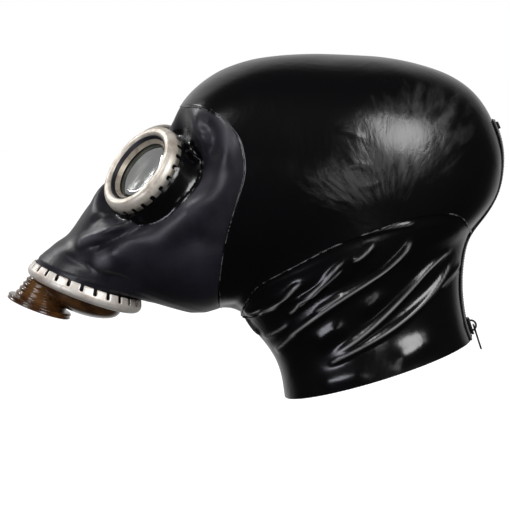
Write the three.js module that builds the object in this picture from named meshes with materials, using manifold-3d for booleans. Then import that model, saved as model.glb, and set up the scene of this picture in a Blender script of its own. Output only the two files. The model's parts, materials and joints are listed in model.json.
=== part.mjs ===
// Gas mask style costume mask: a rubber hood with a neck collar and back zip, joined to a moulded
// face piece with two metal-rimmed eyepieces and a snout that ends in a clamp ring and a valve.
// Millimetres, +Z up, the mask looks toward -Y and the wearer's left is +X.
// The origin is the point inside the hood where it sits on top of the head.
import * as THREE from 'three';
import { mergeVertices } from 'three/addons/utils/BufferGeometryUtils.js';
import Module from 'manifold-3d';

const wasm = await Module();
wasm.setup();

// Head form, over the outside of the rubber
const HEAD_LENGTH = 227;
const HEAD_HEIGHT = 177;
const HEAD_BREADTH = 152;
const HOOD_WALL = 1.4;
const SEAM_GAP = 0.45;
const THROAT_ARCH = 1.7;

// Hem of the collar
const HEM_DEPTH = 136.5;
const HEM_BREADTH = 124;
const HEM_SET_BACK = 42;
const HEM_DROP = 219;
const HEM_TILT = 17.5;

// Folds of the collar
const FOLD_RISE = 3.2;
const FOLD_SPREAD = 6;

// Moulded face and the end of its snout
const FACE_WALL = 2.6;
const MUZZLE_RADIUS = 37.8;
const MUZZLE_REACH = 161;
const MUZZLE_DROP = 156.6;
const MUZZLE_TILT = 20.5;
const MUZZLE_TUCK = 6;
const BEAD_RISE = 1.6;
const BEAD_MIDDLE = 3;

// Hollow round each eye cup
const SOCKET_DEPTH = 12;
const SOCKET_RADIUS = 58;
const SOCKET_FLAT_RADIUS = 30;
const NOSE_BRIDGE = 60;
const TEMPLE_DEPTH = 14;
const TEMPLE_RADIUS = 32;

// Eyepieces; the heights are measured along the eye axis from the front of the rim
const EYE_TURN = 37;
const EYE_LIFT = 33.5;
const EYE_STAND = 6.4;
const EYE_RIM_RADIUS = 32;
const EYE_OPENING_RADIUS = 25.4;
const EYE_SKIRT_RADIUS = 33.4;
const EYE_RIM_DEPTH = 9.8;
const EYE_METAL = 1.4;
const EYE_NOTCHES = 24;
const EYE_NOTCH_WIDTH = 2.6;
const EYE_NOTCH_DEPTH = 2.6;
const EYE_FRONT_BEVEL = 1;
const EYE_SIDE_BEVEL = 1.8;
const EYE_SKIRT_START = 6;
const RETAINER_SET_BACK = 3.6;
const RETAINER_WIDTH = 3.2;
const RETAINER_DEPTH = 3;
const RETAINER_BEVEL = 1.4;
const LENS_THICKNESS = 2;
const CUP_WALL = 3.2;
const CUP_DEPTH = 40;
const CUP_FLARE = 3;
const CUP_SHOULDER = 1.2;

// Clamp ring; the heights are measured along the valve axis from its notched edge
const RING_FLARE = 2.2;
const RING_LIP = 8;
const RING_HEIGHT = 11.3;
const RING_METAL = 1.7;
const RING_CURVE = 0.8;
const RING_SHOULDER = 3.8;
const RING_SLOTS = 26;
const RING_SLOT_WIDTH = 2.6;
const RING_SLOT_DEPTH = 5;

// Valve cover and inlet neck
const CAP_RADIUS = 29.2;
const CAP_RISE = 13.2;
const CAP_WALL = 2;
const CAP_FLANGE = 2.4;
const CAP_STEP = 0.6;
const CAP_EDGE = 0.4;
const NECK_OFFSET = 25.6;
const NECK_RADIUS = 13;
const NECK_TOP_RADIUS = 18.6;
const NECK_HEIGHT = 15.6;
const NECK_WALL = 2.2;
const NECK_RIBS = 4;
const RIB_RISE = 0.8;
const FLANGE_RADIUS = 23.3;
const FLANGE_THICKNESS = 4.4;
const FLANGE_BEVEL = 0.8;

// Zip on the back centre line
const ZIP_SLIT = 3;
const TAPE_WIDTH = 24;
const TAPE_THICKNESS = 0.8;
const TAPE_LIFT = 0.4;
const TEETH_WIDTH = 4;
const TEETH_HEIGHT = 1.4;
const STOP_LENGTH = 5;
const STOP_METAL = 1.2;
const SLIDER_LENGTH = 12;
const SLIDER_WIDTH = 9;
const SLIDER_PLATE = 1.5;
const SLIDER_FLANGE = 1.4;
const SLIDER_TO_HEM = 2;
const SLIDER_CLEARANCE = 0.6;
const BAIL_LENGTH = 9;
const BAIL_HEIGHT = 4.4;
const BAIL_WIDTH = 2.2;
const BAIL_METAL = 1.3;
const PULL_LENGTH = 19;
const PULL_WIDTH = 6;
const PULL_THICKNESS = 1.2;

const CLEARANCE = 0.3;

// How far a cutting solid reaches past what it cuts
const CUT_OVER = 6;

// Fineness of the faceted surfaces
const AROUND = 32;
const HOOD_ROWS = 11;
const COLLAR_ROWS = 12;
const FACE_ROWS = 11;
const ZIP_ROWS = 24;
const VALVE_SIDES = 24;

// Snout and brow, from the clamp ring to the face seam. Each place is a share of the straight line
// from ring to seam: along it, and out of it. The width goes from the muzzle's (0) to the head's (1).
const SNOUT_SECTIONS = [
  { browAlong: 0.114, browOut: -0.005, chinAlong: 0.097, chinOut: 0.022, widen: 0.00, egg: 0.00, full: 0.00 },
  { browAlong: 0.188, browOut: -0.021, chinAlong: 0.191, chinOut: 0.035, widen: 0.06, egg: 0.02, full: 0.00 },
  { browAlong: 0.280, browOut: -0.011, chinAlong: 0.292, chinOut: 0.053, widen: 0.18, egg: 0.03, full: 0.01 },
  { browAlong: 0.391, browOut: -0.001, chinAlong: 0.393, chinOut: 0.071, widen: 0.37, egg: 0.04, full: 0.02 },
  { browAlong: 0.525, browOut: -0.010, chinAlong: 0.506, chinOut: 0.088, widen: 0.56, egg: 0.06, full: 0.03 },
  { browAlong: 0.664, browOut: -0.018, chinAlong: 0.630, chinOut: 0.096, widen: 0.72, egg: 0.08, full: 0.04 },
  { browAlong: 0.792, browOut: -0.026, chinAlong: 0.763, chinOut: 0.080, widen: 0.84, egg: 0.09, full: 0.06 },
  { browAlong: 0.901, browOut: -0.026, chinAlong: 0.894, chinOut: 0.044, widen: 0.94, egg: 0.10, full: 0.07 },
];

// Head, from the brow over the crown to the nape: shares of the head's length behind the crown,
// of its height below the crown and of its breadth
const HEAD_SECTIONS = [
  { back: -0.425, down: 0.210, breadth: 0.880, egg: 0.10, full: 0.07 },
  { back: -0.356, down: 0.112, breadth: 0.915, egg: 0.10, full: 0.06 },
  { back: -0.209, down: 0.024, breadth: 0.945, egg: 0.08, full: 0.05 },
  { back: 0.000, down: 0.000, breadth: 0.975, egg: 0.07, full: 0.04 },
  { back: 0.194, down: 0.012, breadth: 0.995, egg: 0.07, full: 0.03 },
  { back: 0.351, down: 0.056, breadth: 0.995, egg: 0.06, full: 0.02 },
  { back: 0.460, down: 0.133, breadth: 0.975, egg: 0.04, full: 0.02 },
  { back: 0.523, down: 0.233, breadth: 0.950, egg: 0.02, full: 0.02 },
  { back: 0.558, down: 0.351, breadth: 0.925, egg: 0.00, full: 0.02 },
  { back: 0.561, down: 0.458, breadth: 0.905, egg: -0.01, full: 0.02 },
  { back: 0.546, down: 0.545, breadth: 0.885, egg: -0.01, full: 0.01 },
  { back: 0.509, down: 0.628, breadth: 0.865, egg: -0.01, full: 0.01 },
  { back: 0.464, down: 0.709, breadth: 0.835, egg: 0.00, full: 0.00 },
];

// Where the underside of the head begins at the chin seam and ends at the throat
const CHIN_SEAM = { back: -0.299, down: 0.997 };
const THROAT_SEAM = { back: -0.225, down: 1.025 };

// Collar, from the throat down to the hem: shares of the straight lines down the nape and down the
// throat, and of the hem's breadth
const COLLAR_SECTIONS = [
  { napeAlong: 0.221, napeIn: 0.069, throatAlong: 0.170, throatIn: 0.015, breadth: 0.984 },
  { napeAlong: 0.462, napeIn: 0.091, throatAlong: 0.373, throatIn: 0.061, breadth: 0.960 },
  { napeAlong: 0.683, napeIn: 0.079, throatAlong: 0.591, throatIn: 0.089, breadth: 0.952 },
  { napeAlong: 0.865, napeIn: 0.047, throatAlong: 0.805, throatIn: 0.058, breadth: 0.968 },
  { napeAlong: 1.000, napeIn: 0.000, throatAlong: 1.000, throatIn: 0.000, breadth: 1.000 },
];

// Seam lines: how many sections behind the brow section, and ahead of the nape section, the seam
// lies at each turn from the crown line
const FACE_SEAM = [
  { turn: 0, sections: 0 }, { turn: 20, sections: 0.35 }, { turn: 38, sections: 1.0 },
  { turn: 66, sections: 1.95 }, { turn: 84, sections: 2.2 }, { turn: 102, sections: 1.95 },
  { turn: 120, sections: 1.55 }, { turn: 135, sections: 1.15 }, { turn: 155, sections: 0.45 },
  { turn: 180, sections: 0 },
];
const COLLAR_SEAM = [
  { turn: 0, sections: 0 }, { turn: 15, sections: 0.25 }, { turn: 34, sections: 0.9 },
  { turn: 56, sections: 2.7 }, { turn: 70, sections: 3.5 }, { turn: 86, sections: 4.05 },
  { turn: 109, sections: 5.0 }, { turn: 122, sections: 5.5 }, { turn: 142, sections: 6.9 },
  { turn: 160, sections: 5.0 }, { turn: 180, sections: 0 },
];

// Ridge of each collar fold at its start, middle and end, by sections below the nape section and turn
// from the nape line; its height and width are shares of the usual fold
const FOLDS = [
  { start: [-3.4, 121], middle: [0.0, 142], end: [0.4, 180], rise: 1.2, spread: 0.8 },
  { start: [-3.3, 89], middle: [-0.8, 113], end: [1.2, 148], rise: 0.9, spread: 0.9 },
  { start: [-2.5, 76], middle: [0.4, 95], end: [2.2, 152], rise: 1.0, spread: 1.0 },
  { start: [0.1, 38], middle: [1.7, 71], end: [3.3, 123], rise: 1.1, spread: 1.2 },
  { start: [0.8, 33], middle: [2.6, 74], end: [3.5, 116], rise: 0.8, spread: 1.0 },
  { start: [4.1, 98], middle: [4.2, 113], end: [4.3, 128], rise: 0.7, spread: 1.6 },
];

// Where the eye axis leaves the face: sections behind the clamp ring's edge, turn from the brow line
const EYE_SECTION = 6.35;
const EYE_PLACE_TURN = 32.5;

// Middle of the hollow between the eye cup and the temple, stated in the same way
const TEMPLE_SECTION = 9.0;
const TEMPLE_PLACE_TURN = 62;

// Where the zip begins: sections behind the crown section
const ZIP_TOP_SECTIONS = 4.2;

const RING_STATION = 1;
const BROW_STATION = RING_STATION + SNOUT_SECTIONS.length + 1;
const CROWN_STATION = BROW_STATION + 3;
const ZIP_TOP_STATION = CROWN_STATION + ZIP_TOP_SECTIONS;
const NAPE_STATION = BROW_STATION + HEAD_SECTIONS.length - 1;
const HEM_STATION = NAPE_STATION + COLLAR_SECTIONS.length;

const radians = THREE.MathUtils.degToRad;

// Valve axis, pointing out of the snout, and the direction across it toward the chin
const VALVE_AXIS = new THREE.Vector2(-Math.sin(radians(MUZZLE_TILT)), -Math.cos(radians(MUZZLE_TILT)));
const VALVE_ACROSS = new THREE.Vector2(-VALVE_AXIS.y, VALVE_AXIS.x);
const VALVE_CENTRE = new THREE.Vector2(-MUZZLE_REACH, HOOD_WALL - MUZZLE_DROP);

// Middle-plane place given by shares of the head's length and height; x is back and y is up
function headPlace(shares) {
  return new THREE.Vector2(shares.back * HEAD_LENGTH, HOOD_WALL - shares.down * HEAD_HEIGHT);
}

// Middle-plane place near the straight line from one place to another
function placeByLine(from, to, along, out) {
  const line = to.clone().sub(from);
  const side = new THREE.Vector2(-line.y, line.x);
  return from.clone().addScaledVector(line, along).addScaledVector(side, out);
}

function section(crown, throat, half, egg, full) {
  return [crown.x, crown.y, throat.x, throat.y, half, egg, full];
}

// Section round the snout at a height along the valve axis
function muzzleSection(height) {
  const centre = VALVE_CENTRE.clone().addScaledVector(VALVE_AXIS, height);
  const front = centre.clone().addScaledVector(VALVE_ACROSS, -MUZZLE_RADIUS);
  const rear = centre.clone().addScaledVector(VALVE_ACROSS, MUZZLE_RADIUS);
  return section(front, rear, MUZZLE_RADIUS, 0, 0);
}

function snoutSections() {
  const edge = muzzleSection(0);
  const ringFront = new THREE.Vector2(edge[0], edge[1]);
  const ringRear = new THREE.Vector2(edge[2], edge[3]);
  const headHalf = HEAD_SECTIONS[0].breadth * HEAD_BREADTH / 2;
  return SNOUT_SECTIONS.map((row) => {
    const brow = placeByLine(ringFront, headPlace(HEAD_SECTIONS[0]), row.browAlong, row.browOut);
    const chin = placeByLine(ringRear, headPlace(CHIN_SEAM), row.chinAlong, -row.chinOut);
    const half = MUZZLE_RADIUS + (headHalf - MUZZLE_RADIUS) * row.widen;
    return section(brow, chin, half, row.egg, row.full);
  });
}

function headSections() {
  const last = HEAD_SECTIONS.length - 1;
  return HEAD_SECTIONS.map((row, i) => {
    const throat = headPlace(CHIN_SEAM).lerp(headPlace(THROAT_SEAM), i / last);
    throat.y += THROAT_ARCH * Math.sin(Math.PI * i / last);
    return section(headPlace(row), throat, row.breadth * HEAD_BREADTH / 2, row.egg, row.full);
  });
}

function collarSections() {
  const tilt = radians(HEM_TILT);
  const centre = new THREE.Vector2(HEM_SET_BACK, HOOD_WALL - HEM_DROP);
  const halfHem = new THREE.Vector2(Math.cos(tilt), Math.sin(tilt)).multiplyScalar(HEM_DEPTH / 2);
  const hemBack = centre.clone().add(halfHem);
  const hemFront = centre.clone().sub(halfHem);
  const nape = headPlace(HEAD_SECTIONS[HEAD_SECTIONS.length - 1]);
  const throat = headPlace(THROAT_SEAM);
  return COLLAR_SECTIONS.map((row) => section(
    placeByLine(nape, hemBack, row.napeAlong, -row.napeIn),
    placeByLine(throat, hemFront, row.throatAlong, row.throatIn),
    row.breadth * HEM_BREADTH / 2, 0, 0,
  ));
}

const SECTIONS = [
  muzzleSection(MUZZLE_TUCK),
  muzzleSection(0),
  ...snoutSections(),
  ...headSections(),
  ...collarSections(),
];

// Smooth value between the second and third of four numbers
function blend(before, from, to, after, share) {
  const bend = 2 * before - 5 * from + 4 * to - after;
  const sway = 3 * (from - to) + after - before;
  return from + 0.5 * share * (to - before + share * (bend + share * sway));
}

function sectionAt(station) {
  const last = SECTIONS.length - 1;
  const place = THREE.MathUtils.clamp(station, 0, last);
  const i = Math.min(Math.floor(place), last - 1);
  const before = SECTIONS[Math.max(i - 1, 0)];
  const after = SECTIONS[Math.min(i + 2, last)];
  return SECTIONS[i].map((value, k) => blend(before[k], value, SECTIONS[i + 1][k], after[k], place - i));
}

// Point on the plain form; the angle is 0 on the crown line and grows toward the wearer's left
function plainPoint(station, angle) {
  const [crownY, crownZ, throatY, throatZ, half, egg, full] = sectionAt(station);
  const sine = Math.sin(angle);
  const share = (1 + Math.cos(angle)) / 2;
  return new THREE.Vector3(
    half * (sine + egg * Math.sin(2 * angle) + full * (Math.sin(3 * angle) + sine)),
    throatY + (crownY - throatY) * share,
    throatZ + (crownZ - throatZ) * share,
  );
}

// Outward direction of the plain form
function plainNormal(station, angle) {
  const along = plainPoint(station + 0.05, angle).sub(plainPoint(station - 0.05, angle));
  const round = plainPoint(station, angle + 0.02).sub(plainPoint(station, angle - 0.02));
  return round.cross(along).normalize();
}

// Smooth value of a seam table at an angle, alike on both sides
function seamSections(table, angle) {
  const turn = Math.abs(THREE.MathUtils.euclideanModulo(angle + Math.PI, 2 * Math.PI) - Math.PI);
  const degrees = THREE.MathUtils.radToDeg(turn);
  const i = Math.max(table.findIndex((row) => row.turn >= degrees), 1);
  const share = THREE.MathUtils.smoothstep(degrees, table[i - 1].turn, table[i].turn);
  const even = (degrees - table[i - 1].turn) / (table[i].turn - table[i - 1].turn);
  return THREE.MathUtils.lerp(table[i - 1].sections, table[i].sections, (share + 2 * even) / 3);
}

function faceSeamStation(angle) {
  return BROW_STATION + seamSections(FACE_SEAM, angle);
}

function collarSeamStation(angle) {
  return NAPE_STATION - seamSections(COLLAR_SEAM, angle);
}

// Station a distance in millimetres further along the form, in steps of a millimetre or less
function stepAlong(station, angle, distance) {
  const steps = Math.ceil(Math.abs(distance));
  const probe = 0.01 * Math.sign(distance);
  let place = station;
  for (let i = 0; i < steps; i++) {
    const pace = plainPoint(place, angle).distanceTo(plainPoint(place + probe, angle)) / 0.01;
    place += distance / steps / pace;
  }
  return place;
}

// Eye frame: the front centre of the rim and the direction in which the eyepiece looks
function eyeFrame(side) {
  const turn = radians(EYE_TURN);
  const lift = radians(EYE_LIFT);
  const ahead = Math.cos(lift);
  const axis = new THREE.Vector3(side * ahead * Math.sin(turn), -ahead * Math.cos(turn), Math.sin(lift));
  const seat = plainPoint(RING_STATION + EYE_SECTION, side * radians(EYE_PLACE_TURN));
  return { axis, centre: seat.addScaledVector(axis, EYE_STAND) };
}

const EYES = { left: eyeFrame(1), right: eyeFrame(-1) };
const TEMPLE = plainPoint(RING_STATION + TEMPLE_SECTION, radians(TEMPLE_PLACE_TURN));

// Depth of the hollow round the eye cups
function socketDepth(point) {
  const { axis, centre } = point.x > 0 ? EYES.left : EYES.right;
  const away = point.clone().sub(centre);
  const radius = away.addScaledVector(axis, -away.dot(axis)).length();
  const near = 1 - THREE.MathUtils.smoothstep(radius, SOCKET_FLAT_RADIUS, SOCKET_RADIUS);
  const socket = SOCKET_DEPTH * near * THREE.MathUtils.smoothstep(Math.abs(point.x), 0, NOSE_BRIDGE / 2);
  const toTemple = TEMPLE.distanceTo(new THREE.Vector3(Math.abs(point.x), point.y, point.z));
  return socket + TEMPLE_DEPTH * (1 - THREE.MathUtils.smoothstep(toTemple, 0, TEMPLE_RADIUS));
}

function foldRidge(fold) {
  const [start, middle, end] = [fold.start, fold.middle, fold.end].map((pair) => new THREE.Vector2(...pair));
  const bend = middle.clone().multiplyScalar(2).addScaledVector(start, -0.5).addScaledVector(end, -0.5);
  const path = new THREE.QuadraticBezierCurve(start, bend, end);
  return path.getPoints(24).map((place) => plainPoint(NAPE_STATION + place.x, radians(place.y)));
}

const RIDGES = FOLDS.map(foldRidge);

// Height of the collar's folds, alike on both sides
function foldHeight(point) {
  const near = new THREE.Vector3(Math.abs(point.x), point.y, point.z);
  let height = 0;
  FOLDS.forEach((fold, i) => {
    const distance = Math.min(...RIDGES[i].map((ridge) => ridge.distanceTo(near)));
    height += FOLD_RISE * fold.rise * Math.exp(-((distance / (FOLD_SPREAD * fold.spread)) ** 2));
  });
  return height;
}

// Rounded bead round the end of the snout, just behind the clamp ring, away from the valve axis
function beadShift(point) {
  const away = new THREE.Vector2(point.y, point.z).sub(VALVE_CENTRE);
  const behind = -away.dot(VALVE_AXIS);
  away.addScaledVector(VALVE_AXIS, behind);
  const outward = new THREE.Vector3(point.x, away.x, away.y).normalize();
  const near = behind > 0.1 ? Math.exp(-(((behind - BEAD_MIDDLE) / (BEAD_MIDDLE * 0.8)) ** 2)) : 0;
  return outward.multiplyScalar(BEAD_RISE * near);
}

function headDetail(plain, normal) {
  return normal.clone().multiplyScalar(-socketDepth(plain));
}

function collarDetail(plain, normal) {
  return normal.clone().multiplyScalar(foldHeight(plain));
}

function faceDetail(plain, normal) {
  return beadShift(plain).addScaledVector(normal, -socketDepth(plain));
}

// Point of a rubber surface: the plain form with its details, moved out by a lift
function rubberPoint(station, angle, lift, detail) {
  const plain = plainPoint(station, angle);
  const normal = plainNormal(station, angle);
  return plain.clone().addScaledVector(normal, lift).add(detail(plain, normal));
}

// Solid skinned through closed loops; the last loop joins the first, or both ends are capped
function skin(loops, ringed) {
  const width = loops[0].length;
  const index = [];
  const strips = ringed ? loops.length : loops.length - 1;
  for (let row = 0; row < strips; row++) {
    const next = ((row + 1) % loops.length) * width;
    for (let i = 0; i < width; i++) {
      const j = (i + 1) % width;
      index.push(row * width + i, row * width + j, next + i);
      index.push(row * width + j, next + j, next + i);
    }
  }
  const points = loops.flat();
  if (!ringed) {
    [0, loops.length - 1].forEach((row) => {
      const hub = points.length;
      const middle = loops[row].reduce((sum, p) => sum.add(p), new THREE.Vector3()).divideScalar(width);
      points.push(middle);
      for (let i = 0; i < width; i++) {
        const ends = [row * width + (i + 1) % width, row * width + i];
        index.push(hub, ...(row === 0 ? ends : ends.reverse()));
      }
    });
  }
  const geometry = new THREE.BufferGeometry().setFromPoints(points);
  geometry.setIndex(index);
  return facingOut(geometry);
}

// Same geometry with its faces turned outward
function facingOut(geometry) {
  const position = geometry.getAttribute('position');
  const index = geometry.getIndex().array;
  const corner = (k) => new THREE.Vector3().fromBufferAttribute(position, index[k]);
  let volume = 0;
  for (let k = 0; k < index.length; k += 3) {
    volume += corner(k).dot(corner(k + 1).cross(corner(k + 2)));
  }
  if (volume < 0) {
    for (let k = 0; k < index.length; k += 3) {
      [index[k], index[k + 1]] = [index[k + 1], index[k]];
    }
  }
  return geometry;
}

function toSolid(geometry) {
  const bare = geometry.clone();
  bare.deleteAttribute('normal');
  bare.deleteAttribute('uv');
  const merged = mergeVertices(bare, 1e-4);
  const vertProperties = new Float32Array(merged.getAttribute('position').array);
  const triVerts = new Uint32Array(merged.getIndex().array);
  return new wasm.Manifold(new wasm.Mesh({ numProp: 3, vertProperties, triVerts }));
}

function fromSolid(solid) {
  const mesh = solid.getMesh();
  const geometry = new THREE.BufferGeometry();
  geometry.setAttribute('position', new THREE.BufferAttribute(new Float32Array(mesh.vertProperties), 3));
  geometry.setIndex(new THREE.BufferAttribute(new Uint32Array(mesh.triVerts), 1));
  return geometry;
}

// Largest part of a solid, without slivers that its cuts left
function largest(solid) {
  return solid.decompose().sort((one, other) => other.volume() - one.volume())[0];
}

// Solid of revolution about Z from rows of radius and height
function turned(rows, sides) {
  const profile = rows.map(([radius, height]) => new THREE.Vector2(radius, height));
  const geometry = new THREE.LatheGeometry([...profile, profile[0]], sides);
  geometry.rotateX(Math.PI / 2);
  geometry.deleteAttribute('normal');
  geometry.deleteAttribute('uv');
  return facingOut(mergeVertices(geometry, 1e-4));
}

// Evenly spaced stations
function spread(from, to, rows) {
  return Array.from({ length: rows + 1 }, (_, row) => THREE.MathUtils.lerp(from, to, row / rows));
}

// Rubber wall through the stations that it is given for each angle, as a tube open at both ends
function rubberTube(stationsAt, wall, detail) {
  const lines = Array.from({ length: AROUND }, (_, i) => {
    const angle = (2 * Math.PI * i) / AROUND;
    return stationsAt(angle).map((station) => ({ station, angle }));
  });
  const rows = Array.from(lines[0].keys());
  const place = ({ station, angle }, lift) => rubberPoint(station, angle, lift, detail);
  const loop = (row, lift) => lines.map((line) => place(line[row], lift));
  const outer = rows.map((row) => loop(row, 0));
  const inner = rows.reverse().map((row) => loop(row, -wall));
  return skin([...outer, ...inner], true);
}

// Blade through the back wall on the centre line, from the top of the zip down past the hem
function slitBlade() {
  const outer = [];
  const inner = [];
  for (let row = 0; row <= 12; row++) {
    const station = THREE.MathUtils.lerp(ZIP_TOP_STATION, HEM_STATION, row / 12);
    const plain = plainPoint(station, 0);
    const normal = plainNormal(station, 0);
    outer.push(plain.clone().addScaledVector(normal, 2 * TEETH_WIDTH));
    inner.push(plain.clone().addScaledVector(normal, -2 * TEETH_WIDTH));
  }
  const below = new THREE.Vector3(0, 0, -HEM_DEPTH / 4);
  outer.push(outer[12].clone().add(below));
  inner.push(inner[12].clone().add(below));
  const loops = outer.map((out, i) => [
    new THREE.Vector3(-ZIP_SLIT / 2, out.y, out.z),
    new THREE.Vector3(ZIP_SLIT / 2, out.y, out.z),
    new THREE.Vector3(ZIP_SLIT / 2, inner[i].y, inner[i].z),
    new THREE.Vector3(-ZIP_SLIT / 2, inner[i].y, inner[i].z),
  ]);
  return toSolid(skin(loops, false));
}

function hoodHead() {
  const shell = rubberTube((angle) => spread(
    stepAlong(faceSeamStation(angle), angle, SEAM_GAP / 2),
    stepAlong(collarSeamStation(angle), angle, -SEAM_GAP / 2),
    HOOD_ROWS,
  ), HOOD_WALL, headDetail);
  return fromSolid(toSolid(shell).subtract(slitBlade()));
}

function hoodCollar() {
  const shell = rubberTube((angle) => spread(
    stepAlong(collarSeamStation(angle), angle, SEAM_GAP / 2),
    HEM_STATION,
    COLLAR_ROWS,
  ), HOOD_WALL, collarDetail);
  return fromSolid(toSolid(shell).subtract(slitBlade()));
}

// Everything inside the face wall, as a closed solid to trim the eye cups with
function faceHollow() {
  const loops = Array.from({ length: 30 }, (_, row) => Array.from({ length: AROUND }, (__, i) => {
    const angle = (2 * Math.PI * i) / AROUND;
    const station = THREE.MathUtils.lerp(0, NAPE_STATION, row / 29);
    return rubberPoint(station, angle, -FACE_WALL, faceDetail);
  }));
  return toSolid(skin(loops, false));
}

// Turns a solid made round the eye axis into its place
function placeEye(geometry, eye) {
  const turn = new THREE.Quaternion().setFromUnitVectors(new THREE.Vector3(0, 0, 1), eye.axis);
  return geometry.applyQuaternion(turn).translate(eye.centre.x, eye.centre.y, eye.centre.z);
}

const LIP_TOP = -(EYE_METAL + CLEARANCE);
const LIP_OUTER = EYE_RIM_RADIUS - EYE_METAL - CLEARANCE;
const LIP_INNER = EYE_OPENING_RADIUS + EYE_METAL + CLEARANCE;
const RETAINER_FRONT = -RETAINER_SET_BACK;
const RETAINER_BACK = RETAINER_FRONT - RETAINER_DEPTH;
const LENS_FRONT = RETAINER_BACK - CLEARANCE;
const LENS_BACK = LENS_FRONT - LENS_THICKNESS;

// Outer body of a cup, deep enough to reach through the face wall
function cupBody() {
  const throat = EYE_SKIRT_RADIUS + CLEARANCE;
  return turned([
    [0, LIP_TOP], [LIP_OUTER, LIP_TOP], [LIP_OUTER, -EYE_RIM_DEPTH - CLEARANCE],
    [throat, -EYE_RIM_DEPTH - CUP_SHOULDER], [throat + CUP_FLARE * 0.3, -CUP_DEPTH * 0.6],
    [throat + CUP_FLARE, -CUP_DEPTH], [0, -CUP_DEPTH],
  ], EYE_NOTCHES);
}

// Space inside a cup: the seat of the lens, then the view into the mask
function cupBore() {
  return turned([
    [0, CUT_OVER], [LIP_INNER, CUT_OVER], [LIP_INNER, LENS_BACK - CLEARANCE],
    [LIP_INNER - CUP_WALL, LENS_BACK - CLEARANCE], [LIP_INNER - CUP_WALL, -CUP_DEPTH - CUT_OVER],
    [0, -CUP_DEPTH - CUT_OVER],
  ], EYE_NOTCHES);
}

// Room round the metal rim, so that the face wall stays behind its skirt
function rimRoom() {
  const radius = EYE_SKIRT_RADIUS + CLEARANCE;
  const depth = EYE_RIM_DEPTH + CLEARANCE;
  const front = 2 * CUT_OVER;
  return turned([[0, front], [radius, front], [radius, -depth], [0, -depth]], EYE_NOTCHES);
}

// Stations of the face wall: the tucked end, the ring's edge, the bead and on to the face seam
function faceStations(angle) {
  const bead = [1, BEAD_MIDDLE, 2 * BEAD_MIDDLE].map((height) => stepAlong(RING_STATION, angle, height));
  const seam = stepAlong(faceSeamStation(angle), angle, -SEAM_GAP / 2);
  return [0, RING_STATION, ...bead, ...spread(bead[2], seam, FACE_ROWS).slice(1)];
}

function facePiece() {
  const shell = rubberTube(faceStations, FACE_WALL, faceDetail);
  const hollow = faceHollow();
  let solid = toSolid(shell);
  Object.values(EYES).forEach((eye) => {
    const cup = toSolid(placeEye(cupBody(), eye)).subtract(hollow);
    solid = solid.subtract(toSolid(placeEye(rimRoom(), eye))).add(cup);
  });
  Object.values(EYES).forEach((eye) => {
    solid = solid.subtract(toSolid(placeEye(cupBore(), eye)));
  });
  return fromSolid(largest(solid));
}

// Metal rim that hooks over the lip of a cup, with a notched skirt
function eyeRing() {
  const back = -EYE_RIM_DEPTH;
  const sleeve = EYE_OPENING_RADIUS + EYE_METAL;
  let solid = toSolid(turned([
    [EYE_OPENING_RADIUS, RETAINER_BACK], [EYE_OPENING_RADIUS, -EYE_FRONT_BEVEL],
    [(EYE_OPENING_RADIUS + EYE_RIM_RADIUS) / 2, 0], [EYE_RIM_RADIUS, -EYE_SIDE_BEVEL],
    [EYE_SKIRT_RADIUS, -EYE_SKIRT_START], [EYE_SKIRT_RADIUS, back],
    [LIP_OUTER + CLEARANCE, back], [LIP_OUTER + CLEARANCE, LIP_TOP + CLEARANCE],
    [sleeve, LIP_TOP + CLEARANCE], [sleeve, RETAINER_BACK],
  ], EYE_NOTCHES));
  for (let i = 0; i < EYE_NOTCHES; i++) {
    const notch = new THREE.BoxGeometry(EYE_METAL * 6, EYE_NOTCH_WIDTH, EYE_NOTCH_DEPTH * 2);
    notch.translate(EYE_SKIRT_RADIUS, 0, back);
    notch.rotateZ((2 * Math.PI * (i + 0.5)) / EYE_NOTCHES);
    solid = solid.subtract(toSolid(notch));
  }
  return fromSolid(solid);
}

function eyeRetainer() {
  const outer = EYE_OPENING_RADIUS - CLEARANCE;
  return turned([
    [outer, RETAINER_FRONT], [outer, RETAINER_BACK], [outer - RETAINER_WIDTH, RETAINER_BACK],
    [outer - RETAINER_WIDTH, RETAINER_FRONT - RETAINER_BEVEL], [outer - RETAINER_WIDTH * 0.4, RETAINER_FRONT],
  ], EYE_NOTCHES);
}

function eyeLens() {
  const radius = LIP_INNER - CLEARANCE;
  return turned([[0, LENS_FRONT], [radius, LENS_FRONT], [radius, LENS_BACK], [0, LENS_BACK]], EYE_NOTCHES);
}

const RING_BORE_RADIUS = MUZZLE_RADIUS + CLEARANCE;
const RING_EDGE_RADIUS = RING_BORE_RADIUS + RING_METAL;
const RING_RADIUS = RING_EDGE_RADIUS + RING_FLARE;
const RING_OPENING_RADIUS = RING_RADIUS - RING_LIP;
const LIP_UNDER = RING_HEIGHT - RING_METAL;

// Metal clamp ring, curved in toward its lower lip, with slots in the edge that grips the rubber
function valveRing() {
  let solid = toSolid(turned([
    [RING_EDGE_RADIUS, 0], [RING_RADIUS, RING_HEIGHT * 0.45],
    [RING_RADIUS - RING_CURVE, RING_HEIGHT * 0.8], [RING_RADIUS - RING_SHOULDER, RING_HEIGHT],
    [RING_OPENING_RADIUS, RING_HEIGHT], [RING_OPENING_RADIUS, LIP_UNDER],
    [RING_BORE_RADIUS, LIP_UNDER], [RING_BORE_RADIUS, 0],
  ], RING_SLOTS));
  for (let i = 0; i < RING_SLOTS; i++) {
    const slot = new THREE.BoxGeometry(RING_METAL * 6, RING_SLOT_WIDTH, RING_SLOT_DEPTH * 2);
    slot.translate(RING_EDGE_RADIUS, 0, 0);
    slot.rotateZ((2 * Math.PI * (i + 0.5)) / RING_SLOTS);
    solid = solid.subtract(toSolid(slot));
  }
  return fromSolid(solid);
}

const NECK_BASE = RING_HEIGHT + CLEARANCE;

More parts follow.
